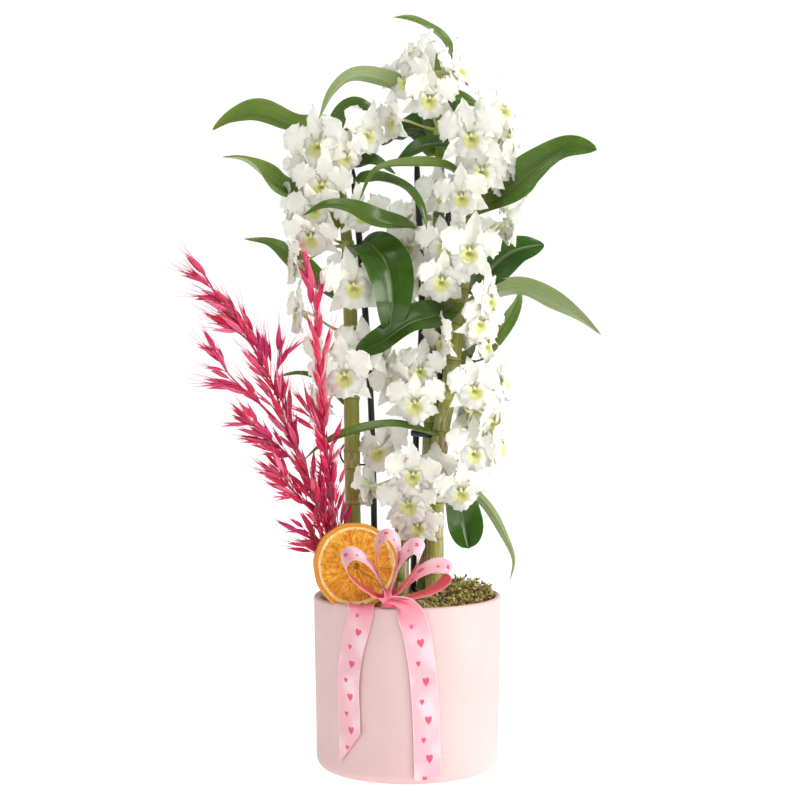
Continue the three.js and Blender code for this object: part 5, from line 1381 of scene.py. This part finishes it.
def bow_pieces(colours, sizes):
    """Loops are teardrops that start and end over the knot: where a band faces up, its front edge leans in
    and shows the outer face, and where it faces down, the front edge drops and shows the inner face. The
    left tail comes over the rim from inside, the right one spreads out of the knot, and both lie down the
    pot. The knot is an oval hoop, waisted as a sine and pleated by two waves round it."""
    knot = np.array(KNOT, float)
    faces = [ribbon_finish(colours, True), ribbon_finish(colours, False)]
    for name, (turn, lean, reach, half, tilt, drop) in BOW_LOOPS.items():
        a, b = np.radians([turn, lean])
        side = np.array([-np.sin(a), 0, np.cos(a)])
        out = np.array([np.cos(a) * np.cos(b), np.sin(b), np.sin(a) * np.cos(b)])
        t = np.linspace(0, 2 * np.pi, 65)
        far = 2.5 + (reach - 2.5) / 2 * (1 - np.cos(t))
        spread = 1.35 * half * np.sin(t) * np.sin(t / 2) ** 1.2 + 0.7 * np.cos(t / 2)
        line = knot + far[:, None] * out + spread[:, None] * side
        forward = unit(np.gradient(line, axis=0))
        radial = np.cross(forward, np.cross(out, side))
        radial *= np.sign((radial * (line - knot - 0.6 * reach * out)).sum(1, keepdims=True))
        end = np.sin(t / 2) ** 2
        up = smooth(-0.5, 0.5, radial[:, 2]) * end ** 1.5
        down = smooth(0.1, -0.6, radial[:, 2]) * end
        across = np.cross(out, side) + radial * (drop * down - tilt * up)[:, None]
        near = np.minimum(t, 2 * np.pi - t) / np.pi
        # Painted shade: the loop's pink deepens towards the knot, where it is gathered.
        add_ribbon(name, line, across, smooth(0.34, 0.05, near), smooth(0.8, 0.2, near), sizes, faces)
    height, low, top = POT
    # Half the thickness of the pot's wall, and how far from its middle the left tail bends over the rim.
    rim, over_rim, rows = 2.25, 2.75, 90
    for name, (slant, path) in BOW_TAILS.items():
        outside = curve_through([(x, 0, z) for x, z in path], 24)
        x, z = outside[:, 0], outside[:, 2]
        ripple = 0.8 * np.sin(np.linspace(0, 2.6 * np.pi, 24)) ** 2
        radius = np.interp(z, [0, height], [low, top]) + 0.6 + ripple
        down = np.stack([x, -np.sqrt(radius ** 2 - x ** 2), z], 1)
        if name == "bow_tail_left":
            bend = np.linspace(-0.2, np.pi, 8)
            r, z = top - rim - over_rim * np.cos(bend), height - rim + over_rim * np.sin(bend)
            over = np.stack([0 * r + path[0][0], -np.sqrt(r ** 2 - path[0][0] ** 2), z], 1)
            inside = over[0] * [1, 1, 0] + [0.1 * (KNOT[0] - path[0][0]), 0.6, 118]
            start, gathered = [inside, *over], 0.0
        else:
            start, gathered = knot + [(2, -3.6, 1.5), (7, -5.6, 0.5), (12.5, -6.6, -2.5)], 0.85
        line = curve_through([*start, *down[2:-1:5], down[-1]], rows)
        round_pot = unit(np.stack([line[:, 1], -line[:, 0], np.zeros(rows)], 1))
        share = np.linspace(0, 1, rows)
        pleat = gathered * smooth(0.15, 0.0, share)
        across = round_pot * (1 - pleat[:, None]) + pleat[:, None] * [-0.3, 0.2, -1.0]
        # Painted shade: the tail's pink deepens at its gathered top.
        add_ribbon(name, line, across, pleat, smooth(0.34, 0.10, share), sizes, faces, slant)
    rows, turn = 15, full_turn(96)
    share = np.linspace(0, 1, rows)[:, None]
    swell = 1 - 0.30 * np.sin(np.pi * share) + 0.20 * (1 - share)
    pleats = 1 + 0.10 * np.sin(11 * turn + 1.5 * share) + 0.05 * np.sin(23 * turn)
    ring = (swell * pleats)[..., None] * np.stack([4.2 * np.cos(turn), 3.2 * np.sin(turn), 0 * turn], 1)
    rise = np.concatenate([np.zeros((rows, 2)), -4.0 + 8.0 * share], 1)
    outer = knot + ring + rise[:, None]
    skin = Skin()
    skin.grid(np.concatenate([outer, (knot + 0.9 * ring + rise[:, None])[::-1]]), hoop=True)
    piece = skin.make("bow_knot", faces[1:], "ribbon", "ribbon_bow")


# ---------------------------------------------------------------- stage


# The camera: its place in metres, how far it is tipped up from straight down, its focal length in pixels
# of an image so many pixels wide, and the width of its sensor in millimetres.
CAMERA_PLACE, CAMERA_TILT = (-0.0056, -1.5, 0.355), 87
FOCAL_PIXELS, IMAGE_SIDE, SENSOR = 2003, 800, 36
# How far the floor reaches each way in metres, its grey and its own glow.
FLOOR_REACH, FLOOR_GREY, FLOOR_GLOW = 6, 0.80, 0.66
# How bright the white surround is to the camera, in glossy surfaces and as light.
SEEN_WHITE, GLOSSY_WHITE, AMBIENT_WHITE = 1.05, 0.22, 0.62
# Each light: its place, what it aims at, its side in metres and its power in watts.
LIGHTS = {
    "key": ((1.25, -0.35, 0.70), (0, 0, 0.28), 0.8, 14),
    "fill": ((-1.2, -1.1, 0.7), (0, 0, 0.3), 1.2, 0.8),
    "top": ((0.15, -0.65, 1.6), (0, 0, 0.3), 0.8, 6),
    "low": ((0.75, -0.45, 0.12), (0.05, 0, 0.065), 0.25, 0.45),
}


def stage_pieces():
    """A pale floor, a soft light from the right, weak ones from above, the left and low down, and a white
    surround that shows dim in glossy surfaces, as a real studio's dark parts do."""
    mesh = bpy.data.meshes.new("floor")
    corners = [(x * FLOOR_REACH, y * FLOOR_REACH, 0) for x, y in ((-1, -1), (1, -1), (1, 1), (-1, 1))]
    mesh.from_pydata(corners, [], [(0, 1, 2, 3)])
    piece = bpy.data.objects.new("floor", mesh)
    bpy.context.scene.collection.objects.link(piece)
    f = Finish("floor", 3 * (FLOOR_GREY,), 0.8, Specular_IOR_Level=0.1, Emission_Color=(1, 1, 1, 1),
        Emission_Strength=FLOOR_GLOW)
    mesh.materials.append(f.material)
    world = bpy.data.worlds.new("studio")
    bpy.context.scene.world = world
    world.use_nodes = True
    tree = world.node_tree
    seen, shown = (tree.nodes.new("ShaderNodeBackground") for _ in range(2))
    lit = tree.nodes["Background"]
    for ground, strength in ((seen, SEEN_WHITE), (shown, GLOSSY_WHITE), (lit, AMBIENT_WHITE)):
        ground.inputs["Color"].default_value = (1, 1, 1, 1)
        ground.inputs["Strength"].default_value = strength
    ray, below = tree.nodes.new("ShaderNodeLightPath"), lit
    for kind, ground in (("Is Glossy Ray", shown), ("Is Camera Ray", seen)):
        pick = tree.nodes.new("ShaderNodeMixShader")
        tree.links.new(ray.outputs[kind], pick.inputs[0])
        tree.links.new(below.outputs[0], pick.inputs[1])
        tree.links.new(ground.outputs[0], pick.inputs[2])
        below = pick
    tree.links.new(below.outputs[0], tree.nodes["World Output"].inputs[0])
    for name, (place, aim, size, power) in LIGHTS.items():
        data = bpy.data.lights.new(name, "AREA")
        data.size, data.energy = size, power
        lamp = bpy.data.objects.new(name, data)
        lamp.location = place
        toward = np.array(aim, float) - place
        lamp.rotation_euler = (np.arccos(-toward[2] / np.linalg.norm(toward)), 0,
            np.arctan2(toward[1], toward[0]) - np.pi / 2)
        bpy.context.scene.collection.objects.link(lamp)
    data = bpy.data.cameras.new("camera")
    data.sensor_width, data.lens = SENSOR, FOCAL_PIXELS * SENSOR / IMAGE_SIDE
    data.clip_end = 60
    camera = bpy.data.objects.new("camera", data)
    camera.location = CAMERA_PLACE
    camera.rotation_euler = (np.radians(CAMERA_TILT), 0, 0)
    bpy.context.scene.collection.objects.link(camera)
    bpy.context.scene.camera = camera
    bpy.context.scene.view_settings.view_transform = "Standard"


# ---------------------------------------------------------------- operators and panel


class ORCHID_OT_pot(Operator):
    """Throw the pot and fill it with potting mix"""
    bl_idname = "orchid.pot"
    bl_label = "Pot and mix"

    def execute(self, context):
        skin = Skin()
        skin.grid(pot_surface(context.scene.orchid_sizes.pot_lip / MM))
        skin.make("pot_body", [pot_finish(context.scene.orchid_colours)], "pot_ceramic", "pot")
        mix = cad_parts["potting_mix"]
        mix.data.materials.clear()
        mix.data.materials.append(mix_finish())
        return {"FINISHED"}


class ORCHID_OT_moss(Operator):
    """Lay the moss over the mix"""
    bl_idname = "orchid.moss"
    bl_label = "Moss"

    def execute(self, context):
        moss_pieces(context.scene.orchid_colours, context.scene.orchid_sizes)
        return {"FINISHED"}


class ORCHID_OT_canes(Operator):
    """Grow the canes in their sheaths, with the old stub and its shoots"""
    bl_idname = "orchid.canes"
    bl_label = "Canes"

    def execute(self, context):
        cane_pieces(context.scene.orchid_colours)
        return {"FINISHED"}


class ORCHID_OT_stakes(Operator):
    """Set the stakes and clip the canes to them"""
    bl_idname = "orchid.stakes"
    bl_label = "Stakes and clips"

    def execute(self, context):
        stake_pieces(context.scene.orchid_colours)
        clip_pieces()
        return {"FINISHED"}


class ORCHID_OT_leaves(Operator):
    """Grow the leaves along the canes"""
    bl_idname = "orchid.leaves"
    bl_label = "Leaves"

    def execute(self, context):
        leaf_pieces(context.scene.orchid_colours, context.scene.orchid_sizes)
        return {"FINISHED"}


class ORCHID_OT_blooms(Operator):
    """Open the blooms at the nodes of the canes"""
    bl_idname = "orchid.blooms"
    bl_label = "Blooms"

    def execute(self, context):
        bloom_pieces(context.scene.orchid_colours, context.scene.orchid_sizes)
        return {"FINISHED"}


class ORCHID_OT_oats(Operator):
    """Tuck in the sprays of dyed oat grass"""
    bl_idname = "orchid.oats"
    bl_label = "Oat grass"

    def execute(self, context):
        oat_pieces(context.scene.orchid_colours, context.scene.orchid_sizes)
        return {"FINISHED"}


class ORCHID_OT_orange(Operator):
    """Stand the slice of dried orange in the moss"""
    bl_idname = "orchid.orange"
    bl_label = "Orange slice"

    def execute(self, context):
        slice_piece(context.scene.orchid_colours)
        return {"FINISHED"}


class ORCHID_OT_bow(Operator):
    """Tie the satin bow on the rim"""
    bl_idname = "orchid.bow"
    bl_label = "Bow"

    def execute(self, context):
        bow_pieces(context.scene.orchid_colours, context.scene.orchid_sizes)
        return {"FINISHED"}


class ORCHID_OT_stage(Operator):
    """Set the floor, the lights and the camera"""
    bl_idname = "orchid.stage"
    bl_label = "Stage"

    def execute(self, context):
        stage_pieces()
        return {"FINISHED"}


STEPS = ("stage", "pot", "moss", "canes", "stakes", "leaves", "blooms", "oats", "orange", "bow")


class ORCHID_PT_panel(Panel):
    """Buttons for each group of pieces, and their sizes and colours"""
    bl_idname = "ORCHID_PT_panel"
    bl_label = "Potted orchid"
    bl_space_type = "VIEW_3D"
    bl_region_type = "UI"
    bl_category = "Orchid"

    def draw(self, context):
        for step in STEPS:
            self.layout.operator("orchid." + step)
        for group in (context.scene.orchid_sizes, context.scene.orchid_colours):
            for name in group.__annotations__:
                self.layout.prop(group, name)


CLASSES = (OrchidSizes, OrchidColours, ORCHID_OT_stage, ORCHID_OT_pot, ORCHID_OT_moss, ORCHID_OT_canes,
    ORCHID_OT_stakes, ORCHID_OT_leaves, ORCHID_OT_blooms, ORCHID_OT_oats, ORCHID_OT_orange, ORCHID_OT_bow,
    ORCHID_PT_panel)


def register():
    for cls in CLASSES:
        bpy.utils.register_class(cls)
    bpy.types.Scene.orchid_sizes = PointerProperty(type=OrchidSizes)
    bpy.types.Scene.orchid_colours = PointerProperty(type=OrchidColours)


def unregister():
    del bpy.types.Scene.orchid_colours
    del bpy.types.Scene.orchid_sizes
    for cls in reversed(CLASSES):
        bpy.utils.unregister_class(cls)


def main():
    register()
    for step in STEPS:
        getattr(bpy.ops.orchid, step)()


if __name__ == "__main__":
    main()
